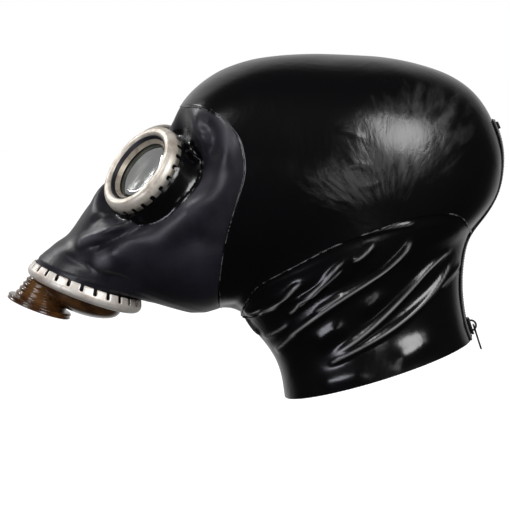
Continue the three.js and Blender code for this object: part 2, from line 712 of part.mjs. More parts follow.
// Outline of the inlet neck, widened on all sides by a margin
function neckOutline(margin) {
  const rows = [[NECK_RADIUS + margin, NECK_BASE - margin]];
  for (let i = 0; i < NECK_RIBS; i++) {
    const share = (i + 0.8) / (NECK_RIBS + 0.4);
    const half = NECK_HEIGHT / (NECK_RIBS + 0.4) / 2;
    const radius = THREE.MathUtils.lerp(NECK_RADIUS, NECK_TOP_RADIUS, share) + margin;
    const height = NECK_BASE + NECK_HEIGHT * share;
    rows.push([radius, height - half * 0.6], [radius + RIB_RISE, height]);
  }
  const flange = NECK_BASE + NECK_HEIGHT;
  rows.push([NECK_TOP_RADIUS + margin, flange], [FLANGE_RADIUS + margin, flange + FLANGE_BEVEL]);
  rows.push([FLANGE_RADIUS + margin, flange + FLANGE_THICKNESS + margin]);
  return rows;
}

// Brown neck with ribs, a flange and an open bore
function inletNeck() {
  const top = NECK_BASE + NECK_HEIGHT + FLANGE_THICKNESS;
  return turned([
    ...neckOutline(0),
    [NECK_TOP_RADIUS - NECK_WALL, top], [NECK_RADIUS - NECK_WALL, NECK_BASE],
  ], VALVE_SIDES);
}

// Brown domed cover, held under the lip of the clamp ring, hollow toward the snout
function valveCap() {
  const inside = RING_OPENING_RADIUS - CLEARANCE;
  const seat = RING_BORE_RADIUS - CLEARANCE;
  const crest = RING_HEIGHT + CAP_RISE;
  const step = RING_HEIGHT + CAP_STEP;
  const flangeTop = LIP_UNDER - CLEARANCE;
  const hollow = CAP_RADIUS - CAP_WALL;
  const shell = toSolid(turned([
    [seat, flangeTop - CAP_FLANGE], [seat, flangeTop], [inside, flangeTop], [inside, step],
    [CAP_RADIUS + CAP_EDGE, step], [CAP_RADIUS, RING_HEIGHT + CAP_RISE * 0.25],
    [CAP_RADIUS * 0.9, RING_HEIGHT + CAP_RISE * 0.56], [CAP_RADIUS * 0.65, crest - CAP_RISE * 0.18],
    [CAP_RADIUS * 0.33, crest - CAP_RISE * 0.04], [0, crest], [0, crest - CAP_WALL],
    [CAP_RADIUS * 0.6, crest - CAP_RISE * 0.18 - CAP_WALL],
    [hollow * 0.9, RING_HEIGHT + CAP_RISE * 0.5 - CAP_WALL * 0.5], [hollow, RING_HEIGHT + CAP_RISE * 0.1],
    [hollow, flangeTop - CAP_FLANGE],
  ], VALVE_SIDES));
  const cut = turned([
    [0, NECK_BASE - CLEARANCE],
    ...neckOutline(CLEARANCE),
    [0, NECK_BASE + NECK_HEIGHT + FLANGE_THICKNESS + CLEARANCE],
  ], VALVE_SIDES);
  cut.translate(0, -NECK_OFFSET, 0);
  return fromSolid(shell.subtract(toSolid(cut)));
}

// Point and directions of the back centre line, at a lift over the rubber
function backLine(station, lift) {
  const normal = plainNormal(station, 0);
  return { point: plainPoint(station, 0).addScaledVector(normal, lift), normal };
}

// Half of the zip tape, a strip that follows the back of the hood
function zipTape(side) {
  const loops = spread(ZIP_TOP_STATION, HEM_STATION, ZIP_ROWS).map((station) => {
    const half = sectionAt(station)[4];
    const inner = Math.asin((TEETH_WIDTH / 2 + CLEARANCE) / half);
    const outer = Math.asin(TAPE_WIDTH / 2 / half);
    const edge = (angle, lift) => plainPoint(station, side * angle)
      .addScaledVector(plainNormal(station, side * angle), lift);
    const top = TAPE_LIFT + TAPE_THICKNESS;
    return [edge(inner, TAPE_LIFT), edge(inner, top), edge(outer, top), edge(outer, TAPE_LIFT)];
  });
  return skin(loops, false);
}

// Closed row of teeth as one bar along the middle of the zip
function zipTeeth() {
  const across = new THREE.Vector3(TEETH_WIDTH / 2, 0, 0);
  const loops = spread(ZIP_TOP_STATION, HEM_STATION, ZIP_ROWS).map((station) => {
    const low = backLine(station, TAPE_LIFT).point;
    const top = backLine(station, TAPE_LIFT + TEETH_HEIGHT).point;
    return [low.clone().sub(across), low.clone().add(across), top.clone().add(across),
      top.clone().sub(across)];
  });
  return skin(loops, false);
}

// Box given by its middle and sizes
function block(x, y, z, width, depth, height) {
  return new THREE.BoxGeometry(width, depth, height).translate(x, y, z);
}

// Frame on the back centre line: local Z points out of the mask and local Y up along the zip
function placeOnBack(group, station, lift) {
  const { point, normal } = backLine(station, lift);
  const across = new THREE.Vector3(-1, 0, 0);
  const up = new THREE.Vector3().crossVectors(normal, across);
  group.position.copy(point);
  group.quaternion.setFromRotationMatrix(new THREE.Matrix4().makeBasis(across, up, normal));
}

// Metal stop over the first teeth
function zipStop() {
  const side = (TEETH_WIDTH + STOP_METAL) / 2 + CLEARANCE;
  const low = TAPE_THICKNESS + CLEARANCE;
  const high = TEETH_HEIGHT + CLEARANCE;
  const top = high + STOP_METAL;
  let solid = toSolid(block(0, 0, (high + top) / 2, side * 2 + STOP_METAL, STOP_LENGTH, STOP_METAL));
  [-1, 1].forEach((hand) => {
    const leg = block(hand * side, 0, (low + top) / 2, STOP_METAL, STOP_LENGTH, top - low);
    solid = solid.add(toSolid(leg));
  });
  return fromSolid(solid);
}

const SLIDER_TOP = TEETH_HEIGHT + SLIDER_CLEARANCE + SLIDER_PLATE;

// Slider with side flanges over the tape and a bail that the pull swings on
function zipSlider() {
  const low = TAPE_THICKNESS + SLIDER_CLEARANCE;
  const plate = block(0, 0, SLIDER_TOP - SLIDER_PLATE / 2, SLIDER_WIDTH, SLIDER_LENGTH, SLIDER_PLATE);
  let solid = toSolid(plate);
  [-1, 1].forEach((hand) => {
    const x = hand * (SLIDER_WIDTH - SLIDER_FLANGE) / 2;
    const flange = block(x, 0, (low + SLIDER_TOP) / 2, SLIDER_FLANGE, SLIDER_LENGTH, SLIDER_TOP - low);
    solid = solid.add(toSolid(flange));
  });
  const root = SLIDER_TOP - SLIDER_PLATE / 2;
  const crest = SLIDER_TOP + BAIL_HEIGHT;
  const bail = block(0, 0, (root + crest) / 2, BAIL_WIDTH, BAIL_LENGTH, crest - root);
  const eyeHeight = BAIL_HEIGHT - BAIL_METAL;
  const eyeLength = BAIL_LENGTH - 2 * BAIL_METAL;
  const eye = block(0, 0, SLIDER_TOP + eyeHeight / 2, BAIL_WIDTH * 2, eyeLength, eyeHeight);
  return fromSolid(solid.add(toSolid(bail).subtract(toSolid(eye))));
}

// Pull tab, with a window that the bail passes through; its hinge bar lies on the local X axis
function zipPull() {
  const bar = PULL_THICKNESS;
  const length = BAIL_LENGTH / 2 + 2 * CLEARANCE + bar / 2;
  const width = BAIL_WIDTH + 4 * CLEARANCE;
  const tab = block(0, (bar - PULL_LENGTH) / 2, 0, PULL_WIDTH, PULL_LENGTH, PULL_THICKNESS);
  const window = block(0, -(bar + length) / 2, 0, width, length, PULL_THICKNESS * 2);
  return fromSolid(toSolid(tab).subtract(toSolid(window)));
}

function finish(color, roughness, metalness) {
  return new THREE.MeshStandardMaterial({ color, roughness, metalness });
}

function named(name, geometry, material) {
  const mesh = new THREE.Mesh(geometry, material);
  mesh.name = name;
  return mesh;
}

const glossRubber = () => finish(0x060607, 0.15, 0);
const mattRubber = () => finish(0x16151a, 0.5, 0);
const dullMetal = () => finish(0xb8b0a0, 0.4, 1);
const brownPlastic = () => finish(0x5a3410, 0.15, 0);
const blackMetal = () => finish(0x141414, 0.3, 1);

const mask = new THREE.Group();
mask.add(named('hood_head', hoodHead(), glossRubber()));
mask.add(named('hood_collar', hoodCollar(), glossRubber()));
mask.add(named('face_piece', facePiece(), mattRubber()));

Object.entries(EYES).forEach(([side, eye]) => {
  const group = new THREE.Group();
  group.position.copy(eye.centre);
  group.quaternion.setFromUnitVectors(new THREE.Vector3(0, 0, 1), eye.axis);
  group.add(named(`eye_ring_${side}`, eyeRing(), dullMetal()));
  group.add(named(`eye_retainer_${side}`, eyeRetainer(), dullMetal()));
  group.add(named(`eye_lens_${side}`, eyeLens(), finish(0x8f978f, 0.05, 0)));
  mask.add(group);
});

// Valve group: local Z along the valve axis, local Y across it toward the chin
const valve = new THREE.Group();
valve.position.set(0, VALVE_CENTRE.x, VALVE_CENTRE.y);
valve.quaternion.setFromRotationMatrix(new THREE.Matrix4().makeBasis(
  new THREE.Vector3(-1, 0, 0),
  new THREE.Vector3(0, VALVE_ACROSS.x, VALVE_ACROSS.y),
  new THREE.Vector3(0, VALVE_AXIS.x, VALVE_AXIS.y),
));
valve.add(named('valve_ring', valveRing(), dullMetal()));
valve.add(named('valve_cap', valveCap(), brownPlastic()));
const neck = named('inlet_neck', inletNeck(), brownPlastic());
neck.position.y = -NECK_OFFSET;
valve.add(neck);
mask.add(valve);

mask.add(named('zip_tape_left', zipTape(1), finish(0x0c0c0c, 0.8, 0)));
mask.add(named('zip_tape_right', zipTape(-1), finish(0x0c0c0c, 0.8, 0)));
mask.add(named('zip_teeth', zipTeeth(), finish(0x0a0a0a, 0.4, 0)));

const stop = named('zip_stop', zipStop(), blackMetal());
placeOnBack(stop, stepAlong(ZIP_TOP_STATION, 0, STOP_LENGTH), TAPE_LIFT);
mask.add(stop);

const runner = new THREE.Group();
placeOnBack(runner, stepAlong(HEM_STATION, 0, -(SLIDER_TO_HEM + SLIDER_LENGTH / 2)), TAPE_LIFT);
runner.add(named('zip_slider', zipSlider(), blackMetal()));
const pull = named('zip_pull', zipPull(), blackMetal());
pull.position.z = SLIDER_TOP + (BAIL_HEIGHT - BAIL_METAL) / 2;
runner.add(pull);
mask.add(runner);

export default mask;
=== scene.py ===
"""Gas mask style costume mask: hood, collar, moulded face, eyepieces, valve and back zip."""
import json
import math

import bmesh
import bpy
import numpy as np
from mathutils import Matrix, Vector, noise


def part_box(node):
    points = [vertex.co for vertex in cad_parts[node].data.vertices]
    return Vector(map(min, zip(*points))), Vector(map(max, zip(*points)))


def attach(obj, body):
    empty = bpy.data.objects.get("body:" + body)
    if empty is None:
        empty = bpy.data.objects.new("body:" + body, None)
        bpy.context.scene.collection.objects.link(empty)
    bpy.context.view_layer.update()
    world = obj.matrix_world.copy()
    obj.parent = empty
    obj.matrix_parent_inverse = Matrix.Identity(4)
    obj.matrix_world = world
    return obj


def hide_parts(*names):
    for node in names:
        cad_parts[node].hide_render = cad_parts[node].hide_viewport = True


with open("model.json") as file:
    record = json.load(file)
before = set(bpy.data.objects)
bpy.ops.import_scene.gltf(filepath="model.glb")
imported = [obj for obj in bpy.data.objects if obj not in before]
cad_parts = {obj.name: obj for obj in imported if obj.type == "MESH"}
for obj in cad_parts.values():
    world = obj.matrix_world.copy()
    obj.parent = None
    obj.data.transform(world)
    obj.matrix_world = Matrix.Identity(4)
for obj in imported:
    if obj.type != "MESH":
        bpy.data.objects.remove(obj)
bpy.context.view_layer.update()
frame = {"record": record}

MM = 0.001

# Sizes in millimetres, as the frame has them
HEAD_LENGTH = 227
HEAD_HEIGHT = 177
HEAD_BREADTH = 152
HOOD_WALL = 1.4
THROAT_ARCH = 1.7
HEM_DEPTH = 136.5
HEM_BREADTH = 124
HEM_SET_BACK = 42
HEM_DROP = 219
HEM_TILT = 17.5
FACE_WALL = 2.6
MUZZLE_RADIUS = 37.8
MUZZLE_REACH = 161
MUZZLE_DROP = 156.6
MUZZLE_TILT = math.radians(20.5)
MUZZLE_TUCK = 6
SOCKET_DEPTH = 12
SOCKET_RADIUS = 58
SOCKET_FLAT_RADIUS = 30
NOSE_BRIDGE = 60
TEMPLE_DEPTH = 14
TEMPLE_RADIUS = 32
EYE_TURN = math.radians(37)
EYE_LIFT = math.radians(33.5)
EYE_STAND = 6.4
NECK_OFFSET = 25.6
ZIP_SLIT = 3
TAPE_WIDTH = 24
TAPE_LIFT = 0.4

# Snout and brow rows: brow along and out, chin along and out, widening, egg shape, fullness
SNOUT_ROWS = [
    (0.114, -0.005, 0.097, 0.022, 0.00, 0.00, 0.00),
    (0.188, -0.021, 0.191, 0.035, 0.06, 0.02, 0.00),
    (0.280, -0.011, 0.292, 0.053, 0.18, 0.03, 0.01),
    (0.391, -0.001, 0.393, 0.071, 0.37, 0.04, 0.02),
    (0.525, -0.010, 0.506, 0.088, 0.56, 0.06, 0.03),
    (0.664, -0.018, 0.630, 0.096, 0.72, 0.08, 0.04),
    (0.792, -0.026, 0.763, 0.080, 0.84, 0.09, 0.06),
    (0.901, -0.026, 0.894, 0.044, 0.94, 0.10, 0.07),
]

# Head rows: back, down, breadth, egg shape, fullness
HEAD_ROWS = [
    (-0.425, 0.210, 0.880, 0.10, 0.07),
    (-0.356, 0.112, 0.915, 0.10, 0.06),
    (-0.209, 0.024, 0.945, 0.08, 0.05),
    (0.000, 0.000, 0.975, 0.07, 0.04),
    (0.194, 0.012, 0.995, 0.07, 0.03),
    (0.351, 0.056, 0.995, 0.06, 0.02),
    (0.460, 0.133, 0.975, 0.04, 0.02),
    (0.523, 0.233, 0.950, 0.02, 0.02),
    (0.558, 0.351, 0.925, 0.00, 0.02),
    (0.561, 0.458, 0.905, -0.01, 0.02),
    (0.546, 0.545, 0.885, -0.01, 0.01),
    (0.509, 0.628, 0.865, -0.01, 0.01),
    (0.464, 0.709, 0.835, 0.00, 0.00),
]
CHIN_SEAM = (-0.299, 0.997)
THROAT_SEAM = (-0.225, 1.025)

# Collar rows: nape along and in, throat along and in, breadth
COLLAR_ROWS = [
    (0.221, 0.069, 0.170, 0.015, 0.984),
    (0.462, 0.091, 0.373, 0.061, 0.960),
    (0.683, 0.079, 0.591, 0.089, 0.952),
    (0.865, 0.047, 0.805, 0.058, 0.968),
    (1.000, 0.000, 1.000, 0.000, 1.000),
]

# Seams: turn from the crown line and sections behind the brow or ahead of the nape
FACE_SEAM = ((0, 20, 38, 66, 84, 102, 120, 135, 155, 180),
             (0, 0.35, 1.0, 1.95, 2.2, 1.95, 1.55, 1.15, 0.45, 0))
COLLAR_SEAM = ((0, 15, 34, 56, 70, 86, 109, 122, 142, 160, 180),
               (0, 0.25, 0.9, 2.7, 3.5, 4.05, 5.0, 5.5, 6.9, 5.0, 0))

RING_STATION = 1
BROW_STATION = RING_STATION + len(SNOUT_ROWS) + 1
CROWN_STATION = BROW_STATION + 3
ZIP_TOP_STATION = CROWN_STATION + 4.2
NAPE_STATION = BROW_STATION + len(HEAD_ROWS) - 1
HEM_STATION = NAPE_STATION + len(COLLAR_ROWS)

VALVE_AXIS = np.array((-math.sin(MUZZLE_TILT), -math.cos(MUZZLE_TILT)))
VALVE_ACROSS = np.array((-VALVE_AXIS[1], VALVE_AXIS[0]))
VALVE_CENTRE = np.array((-MUZZLE_REACH, HOOD_WALL - MUZZLE_DROP))


def head_place(back, down):
    return np.array((back * HEAD_LENGTH, HOOD_WALL - down * HEAD_HEIGHT))


def by_line(start, end, along, out):
    line = end - start
    return start + line * along + np.array((-line[1], line[0])) * out


def muzzle_section(height):
    centre = VALVE_CENTRE + VALVE_AXIS * height
    front = centre - VALVE_ACROSS * MUZZLE_RADIUS
    rear = centre + VALVE_ACROSS * MUZZLE_RADIUS
    return (*front, *rear, MUZZLE_RADIUS, 0, 0)


def section_table():
    """Middle-plane places of crown and throat, half breadth, egg shape and fullness of each section."""
    rows = [muzzle_section(MUZZLE_TUCK), muzzle_section(0)]
    ring = np.array(rows[1])
    brow_end = head_place(*HEAD_ROWS[0][:2])
    chin_end = head_place(*CHIN_SEAM)
    head_half = HEAD_ROWS[0][2] * HEAD_BREADTH / 2
    for brow_along, brow_out, chin_along, chin_out, widen, egg, full in SNOUT_ROWS:
        brow = by_line(ring[0:2], brow_end, brow_along, brow_out)
        chin = by_line(ring[2:4], chin_end, chin_along, -chin_out)
        half = MUZZLE_RADIUS + (head_half - MUZZLE_RADIUS) * widen
        rows.append((*brow, *chin, half, egg, full))
    throat_end = head_place(*THROAT_SEAM)
    for i, (back, down, breadth, egg, full) in enumerate(HEAD_ROWS):
        share = i / (len(HEAD_ROWS) - 1)
        throat = chin_end + (throat_end - chin_end) * share
        throat[1] += THROAT_ARCH * math.sin(math.pi * share)
        rows.append((*head_place(back, down), *throat, breadth * HEAD_BREADTH / 2, egg, full))
    tilt = math.radians(HEM_TILT)
    centre = np.array((HEM_SET_BACK, HOOD_WALL - HEM_DROP))
    half_hem = np.array((math.cos(tilt), math.sin(tilt))) * HEM_DEPTH / 2
    nape = head_place(*HEAD_ROWS[-1][:2])
    for nape_along, nape_in, throat_along, throat_in, breadth in COLLAR_ROWS:
        back = by_line(nape, centre + half_hem, nape_along, -nape_in)
        front = by_line(throat_end, centre - half_hem, throat_along, throat_in)
        rows.append((*back, *front, breadth * HEM_BREADTH / 2, 0, 0))
    return np.array(rows)


def spline_bends(rows):
    """Second differences of a smooth curve through evenly spaced rows."""
    count = len(rows)
    system = np.eye(count)
    target = np.zeros_like(rows)
    for i in range(1, count - 1):
        system[i, i - 1:i + 2] = (1, 4, 1)
        target[i] = 6 * (rows[i - 1] - 2 * rows[i] + rows[i + 1])
    return np.linalg.solve(system, target)


SECTIONS = section_table()
BENDS = spline_bends(SECTIONS)


def section_at(station):
    place = np.clip(station, 0, HEM_STATION)
    i = np.minimum(np.floor(place).astype(int), HEM_STATION - 1)
    after = (place - i)[..., None]
    before = 1 - after
    bend = (before ** 3 - before) * BENDS[i] + (after ** 3 - after) * BENDS[i + 1]
    return before * SECTIONS[i] + after * SECTIONS[i + 1] + bend / 6


def plain_point(station, angle):
    """Points of the plain form; the angle is 0 on the crown line and grows toward the wearer's left."""
    station, angle = np.broadcast_arrays(np.asarray(station, float), np.asarray(angle, float))
    crown_y, crown_z, throat_y, throat_z, half, egg, full = np.moveaxis(section_at(station), -1, 0)
    sine = np.sin(angle)
    share = (1 + np.cos(angle)) / 2
    across = half * (sine + egg * np.sin(2 * angle) + full * (np.sin(3 * angle) + sine))
    back = throat_y + (crown_y - throat_y) * share
    up = throat_z + (crown_z - throat_z) * share
    return np.stack((across, back, up), -1)


def unit(vectors):
    return vectors / np.maximum(np.linalg.norm(vectors, axis=-1, keepdims=True), 1e-9)


def plain_normal(station, angle):
    station = np.asarray(station, float)
    angle = np.asarray(angle, float)
    along = plain_point(station + 0.05, angle) - plain_point(station - 0.05, angle)
    round_it = plain_point(station, angle + 0.02) - plain_point(station, angle - 0.02)
    return unit(np.cross(round_it, along))


def ease(value, low, high):
    share = np.clip((value - low) / (high - low), 0, 1)
    return share ** 3 * (share * (share * 6 - 15) + 10)


def seam_sections(table, angle):
    turn = np.degrees(np.abs(np.mod(angle + math.pi, 2 * math.pi) - math.pi))
    turns, sections = (np.array(row, float) for row in table)
    fine = np.linspace(0, 180, 361)
    rough = np.interp(fine, turns, sections)
    reach = 22
    window = np.hanning(2 * reach + 1)
    padded = np.pad(rough, reach, mode="reflect")
    smooth = np.convolve(padded, window / window.sum(), mode="valid")
    return np.interp(turn, fine, smooth)


def face_seam(angle):
    return BROW_STATION + seam_sections(FACE_SEAM, angle)


def collar_seam(angle):
    return NAPE_STATION - seam_sections(COLLAR_SEAM, angle)


def eye_frame(side):
    ahead = math.cos(EYE_LIFT)
    axis = np.array((side * ahead * math.sin(EYE_TURN), -ahead * math.cos(EYE_TURN), math.sin(EYE_LIFT)))
    seat = plain_point(RING_STATION + 6.35, side * math.radians(32.5))
    return axis, seat + axis * EYE_STAND


EYES = {"left": eye_frame(1), "right": eye_frame(-1)}
TEMPLE = plain_point(RING_STATION + 9.0, math.radians(62))


def mirrored(points):
    return np.concatenate((np.abs(points[..., :1]), points[..., 1:]), -1)


def round_eye(points):
    """Height along the eye's axis, distance from it, and turn toward its lower front from -1 to 1."""
    axis, centre = EYES["left"]
    away = mirrored(points) - centre
    height = away @ axis
    away = away - height[..., None] * axis
    low_front = unit(np.array((0, 0, -1)) + axis[2] * axis)
    return height, np.linalg.norm(away, axis=-1), unit(away) @ low_front


def socket_depth(points):
    """Depth of the hollow round the eye cups."""
    near = mirrored(points)
    _, radius, _ = round_eye(points)
    socket = SOCKET_DEPTH * (1 - ease(radius, SOCKET_FLAT_RADIUS, SOCKET_RADIUS))
    socket = socket * ease(near[..., 0], 0, NOSE_BRIDGE / 2)
    to_temple = np.linalg.norm(near - TEMPLE, axis=-1)
    return socket + TEMPLE_DEPTH * (1 - ease(to_temple, 0, TEMPLE_RADIUS))


def ridge_line(path):
    """Closely spaced points on the plain form along a few (station, turn) places."""
    rows = np.array(path, float)
    bends = spline_bends(rows) if len(rows) > 2 else np.zeros_like(rows)
    place = np.linspace(0, len(rows) - 1, 12 * (len(rows) - 1) + 1)
    i = np.minimum(place.astype(int), len(rows) - 2)
    after = (place - i)[:, None]
    before = 1 - after
    bend = (before ** 3 - before) * bends[i] + (after ** 3 - after) * bends[i + 1]
    station, turn = (before * rows[i] + after * rows[i + 1] + bend / 6).T
    return plain_point(station, np.radians(turn))


def ridge_share(points, path, spread, taper):
    """How far up a soft ridge along a path each point lies, 0 to 1, less toward both ends."""
    line = ridge_line(path)
    near = mirrored(points)
    share = np.linspace(0, 1, len(line))
    strength = ease(share, -0.02, taper) * ease(1 - share, -0.02, taper)
    best = np.zeros(near.shape[:-1])
    for i, (start, end) in enumerate(zip(line, line[1:])):
        step = end - start
        along = np.clip((near - start) @ step / (step @ step), 0, 1)
        away = np.linalg.norm(near - start - along[..., None] * step, axis=-1)
        strong = strength[i] + (strength[i + 1] - strength[i]) * along
        best = np.maximum(best, strong * np.exp(-(away / spread) ** 2))
    return best


def ridge_height(points, path, rise, spread, taper=0.25):
    return rise * ridge_share(points, path, spread, taper)


# Sharp folds of the collar: (station, turn) places, rise and half width
COLLAR_FOLDS = [
    (((18.32, 121.2), (18.74, 126), (19.62, 131.4), (20.86, 139.8), (22.14, 155.2)), 2.0, 2.6),
    (((18.46, 101.6), (19.24, 109.2), (20.96, 117.4), (22.2, 123.4), (22.52, 131.2)), 2.0, 2.2),
    (((18.98, 101.8), (20.0, 109), (20.88, 114), (21.92, 118), (22.24, 124.2)), 1.5, 2.0),
    (((18.56, 90.4), (18.82, 93), (19.02, 95.8), (19.1, 99.2)), 1.8, 2.6),
    (((19.44, 75.2), (20.26, 74.6), (21.1, 78), (21.96, 84.5), (22.7, 104.4), (23.28, 122.6), (24.24, 154)),
     2.4, 2.5),
    (((22.26, 97.8), (22.5, 104), (22.8, 115.6)), 1.2, 2.0),
    (((22.15, 33), (22.42, 47.6), (23.22, 63.4), (24.1, 82.8), (24.74, 101), (25.34, 122.8)), 2.6, 2.8),
    (((22.52, 29.8), (23.48, 44.2), (24.55, 74.4), (25.22, 106.6), (25.48, 119.8)), 2.0, 2.4),
    (((23.0, 12), (23.4, 31), (23.7, 42)), 1.0, 2.2),
    (((17.5, 95.5), (17.95, 87), (18.4, 79.5), (18.85, 71.5)), 0.9, 1.6),
    (((18.9, 164), (20.1, 155), (20.3, 147)), 1.6, 2.6),
    (((22.0, 180), (22.9, 172), (23.3, 164)), 1.8, 2.8),
    (((23.45, 164.5), (23.3, 145.5), (22.95, 130.5)), 1.4, 2.6),
    (((24.45, 160.5), (24.0, 143.5), (23.45, 127)), 1.6, 2.8),
]
# Broad soft swells and hollows of the collar
COLLAR_SWELLS = [
    (((25.75, 50), (25.95, 66), (26.1, 80)), 2.2, 7.5),
    (((24.3, 120), (24.05, 112.5), (23.85, 104)), 2.4, 5.5),
    (((23.45, 89), (23.05, 78)), 1.4, 5.0),
    (((26.4, 126), (26.3, 112.5), (26.25, 98)), 2.2, 7.5),
    (((20.3, 150), (21.2, 165), (21.4, 180)), 2.2, 3.2),
    (((22.0, 25), (23.6, 66), (24.8, 112)), -1.2, 8.0),
    (((20.2, 90), (21.6, 104), (23.0, 134)), -1.4, 4.5),
]

# Folds of the snout and the cheek
FACE_FOLDS = [
    (((6.98, 65), (6.28, 64.4), (5.2, 61.6), (4.58, 57.6), (3.98, 50.4), (3.36, 44.4)), 4.4, 3.8, 0.12),
    (((7.2, 69), (6.4, 70), (5.22, 67.8), (4.48, 64.8), (3.78, 61.4)), -3.4, 3.6, 0.12),
    (((6.0, 46), (5.2, 44), (4.6, 40)), -2.6, 3.4),
    (((3.45, 75.5), (4.15, 79), (4.85, 84)), 4.0, 9.0),
    (((1.95, 30), (2.3, 64), (3.3, 90.5), (4.35, 114)), -1.3, 1.7),
    (((2.35, 30), (2.65, 64), (3.6, 90.5), (4.6, 114)), 0.6, 1.5),
    (((10.75, 41), (11.05, 49), (11.2, 56), (11.22, 63), (11.1, 69)), -4.6, 5.4),
    (((11.0, 36), (11.4, 48), (11.65, 58.5), (11.7, 67), (11.5, 75), (11.1, 80)), 1.4, 4.6),
    (((10.9, 78), (9.6, 82), (8.2, 80), (7.2, 77)), 1.8, 7.0),
    (((9.2, 100), (10.2, 108), (11.2, 112)), -1.2, 7.0),
]


# Faint wrinkles of the hood near the seam
HOOD_WRINKLES = [
    (((13.8, 63.5), (14.15, 64), (14.6, 66)), 0.5, 1.8),
    (((14.6, 78.5), (14.9, 76.5), (15.35, 75.5)), 0.6, 1.8),
    (((15.45, 83), (15.8, 81.5), (16.0, 78.5)), 0.7, 1.8),
]


def crest_share(points, path, lift, width):
    """1 along a path raised by lift, falling off over the width."""
    rows = np.array(path, float)
    stations, turns = (np.interp(np.linspace(0, len(rows) - 1, 60), np.arange(len(rows)), row) for row in rows.T)
    angles = np.radians(turns)
    line = plain_point(stations, angles)
    line = line + plain_normal(stations, angles) * (lift - socket_depth(line))[:, None]
    away = np.min([np.linalg.norm(mirrored(points) - point, axis=-1) for point in line], axis=0)
    return np.exp(-(away / width) ** 2)


def fold_height(points):
    return sum(ridge_height(points, *fold) for fold in COLLAR_FOLDS + COLLAR_SWELLS)


def fold_crest(points):
    """1 on the crest of a sharp fold, falling off within a millimetre or two; the rubber is painted lighter
    there as a highlight line.
    """
    crest = 0
    for path, rise, spread in COLLAR_FOLDS:
        crest = np.maximum(crest, min(1, rise / 2.2) * ridge_share(points, path, spread, 0.12) ** 16)
    return crest


def uneven(points, scale, strength, seed):
    """Slow hand-made unevenness of a rubber surface."""
    flat = points.reshape(-1, 3)
    shift = Vector((seed * 7.1, seed * 3.3, seed * 5.7))
    values = [noise.noise(Vector(point) / scale + shift) for point in flat]
    return strength * np.array(values).reshape(points.shape[:-1])


# Rounded beads round the end of the snout: distance from the end, half width and height
SNOUT_BEADS = ((3.4, 1.7, 1.5), (7.6, 1.5, 0.8))


def bead_shift(points):
    """How far the beads move each point, away from the valve's axis."""
    away = points[..., 1:] - VALVE_CENTRE
    behind = -(away @ VALVE_AXIS)
    across = away + behind[..., None] * VALVE_AXIS
    outward = unit(np.concatenate((points[..., :1], across), -1))
    raised = sum(height * np.exp(-((behind - middle) / half) ** 2) for middle, half, height in SNOUT_BEADS)
    return outward * np.where(behind > 0.1, raised, 0)[..., None]


# Meshes

def sheet_grid(across, along, place, closed=True, marks=None):
    """Grid of squares: place(u, v) gives each vertex in millimetres, and each mark(u, v) a number on it."""
    bm = bmesh.new()
    bmesh.ops.create_grid(bm, x_segments=across, y_segments=along, size=0.5, calc_uvs=True)
    bm.verts.ensure_lookup_table()
    u, v = np.array([vert.co[:2] for vert in bm.verts]).T + 0.5
    for vert, point in zip(bm.verts, place(u, v) * MM):
        vert.co = point
    for name, mark in (marks or {}).items():
        keep_mark(bm, name, mark(u, v))
    if closed:
        bmesh.ops.remove_doubles(bm, verts=bm.verts, dist=1e-6)
    return bm


def keep_mark(bm, name, values):
    """A number on each vertex that a finish can read."""
    layer = bm.verts.layers.float.new(name)
    for vert, value in zip(bm.verts, values):
        vert[layer] = value


def lathe(profile, steps=96):
    """Solid turned about Z from a closed profile of (radius, height)."""
    bm = bmesh.new()
    verts = [bm.verts.new((radius * MM, 0, height * MM)) for radius, height in profile]
    edges = [bm.edges.new(pair) for pair in zip(verts, verts[1:])]
    if profile[0][0] > 0 or profile[-1][0] > 0:
        edges.append(bm.edges.new((verts[-1], verts[0])))
    bmesh.ops.spin(bm, geom=verts + edges, cent=(0, 0, 0), axis=(0, 0, 1), angle=2 * math.pi,
                   steps=steps, use_merge=True, use_duplicate=False)
    bmesh.ops.remove_doubles(bm, verts=bm.verts, dist=1e-6)
    bmesh.ops.recalc_face_normals(bm, faces=bm.faces)
    return bm


TAB_COLUMNS = (0.06, 0.3, 0.5, 0.7, 0.94)


def pressed_ring(profile, slots, slot_share, slot_rows, lean, painted_rear_shade):
    """Thin metal ring with slots in the first rows of its profile.

    The tabs between the slots narrow by lean, and the last argument gives the depths between which it is
    darkened with painted shade.
    """
    stops = [-slot_share / 2, slot_share / 2]
    stops += [slot_share / 2 + (1 - slot_share) * column for column in TAB_COLUMNS]
    width = len(stops)
    count = slots * width
    radii, heights = (np.array(row, float) for row in zip(*profile))

    def place(u, v):
        column = np.rint(u * count).astype(int)
        row = np.rint(v * (len(profile) - 1)).astype(int)
        sector, stop = column // width, column % width
        share = np.array(stops)[stop]
        over = np.clip((slot_rows - row) / max(slot_rows, 1), 0, 1)
        share = 0.5 + (share - 0.5) * (1 - lean * over)
        angle = 2 * math.pi * (sector + share) / slots
        return np.stack((radii[row] * np.cos(angle), radii[row] * np.sin(angle), heights[row]), -1)

    bm = sheet_grid(count, len(profile) - 1, place, closed=False)
    bm.verts.ensure_lookup_table()
    per_row = count + 1
    gaps = []
    for face in bm.faces:
        indices = [vert.index for vert in face.verts]
        column = min(index % per_row for index in indices)
        row = min(index // per_row for index in indices)
        if column % width == 0 and row < slot_rows:
            gaps.append(face)
    bmesh.ops.delete(bm, geom=gaps, context="FACES")
    bmesh.ops.remove_doubles(bm, verts=bm.verts, dist=1e-6)
    bmesh.ops.recalc_face_normals(bm, faces=bm.faces)
    keep_mark(bm, "painted_rear_shade", [ease(-vert.co.z / MM, *painted_rear_shade) for vert in bm.verts])
    return bm


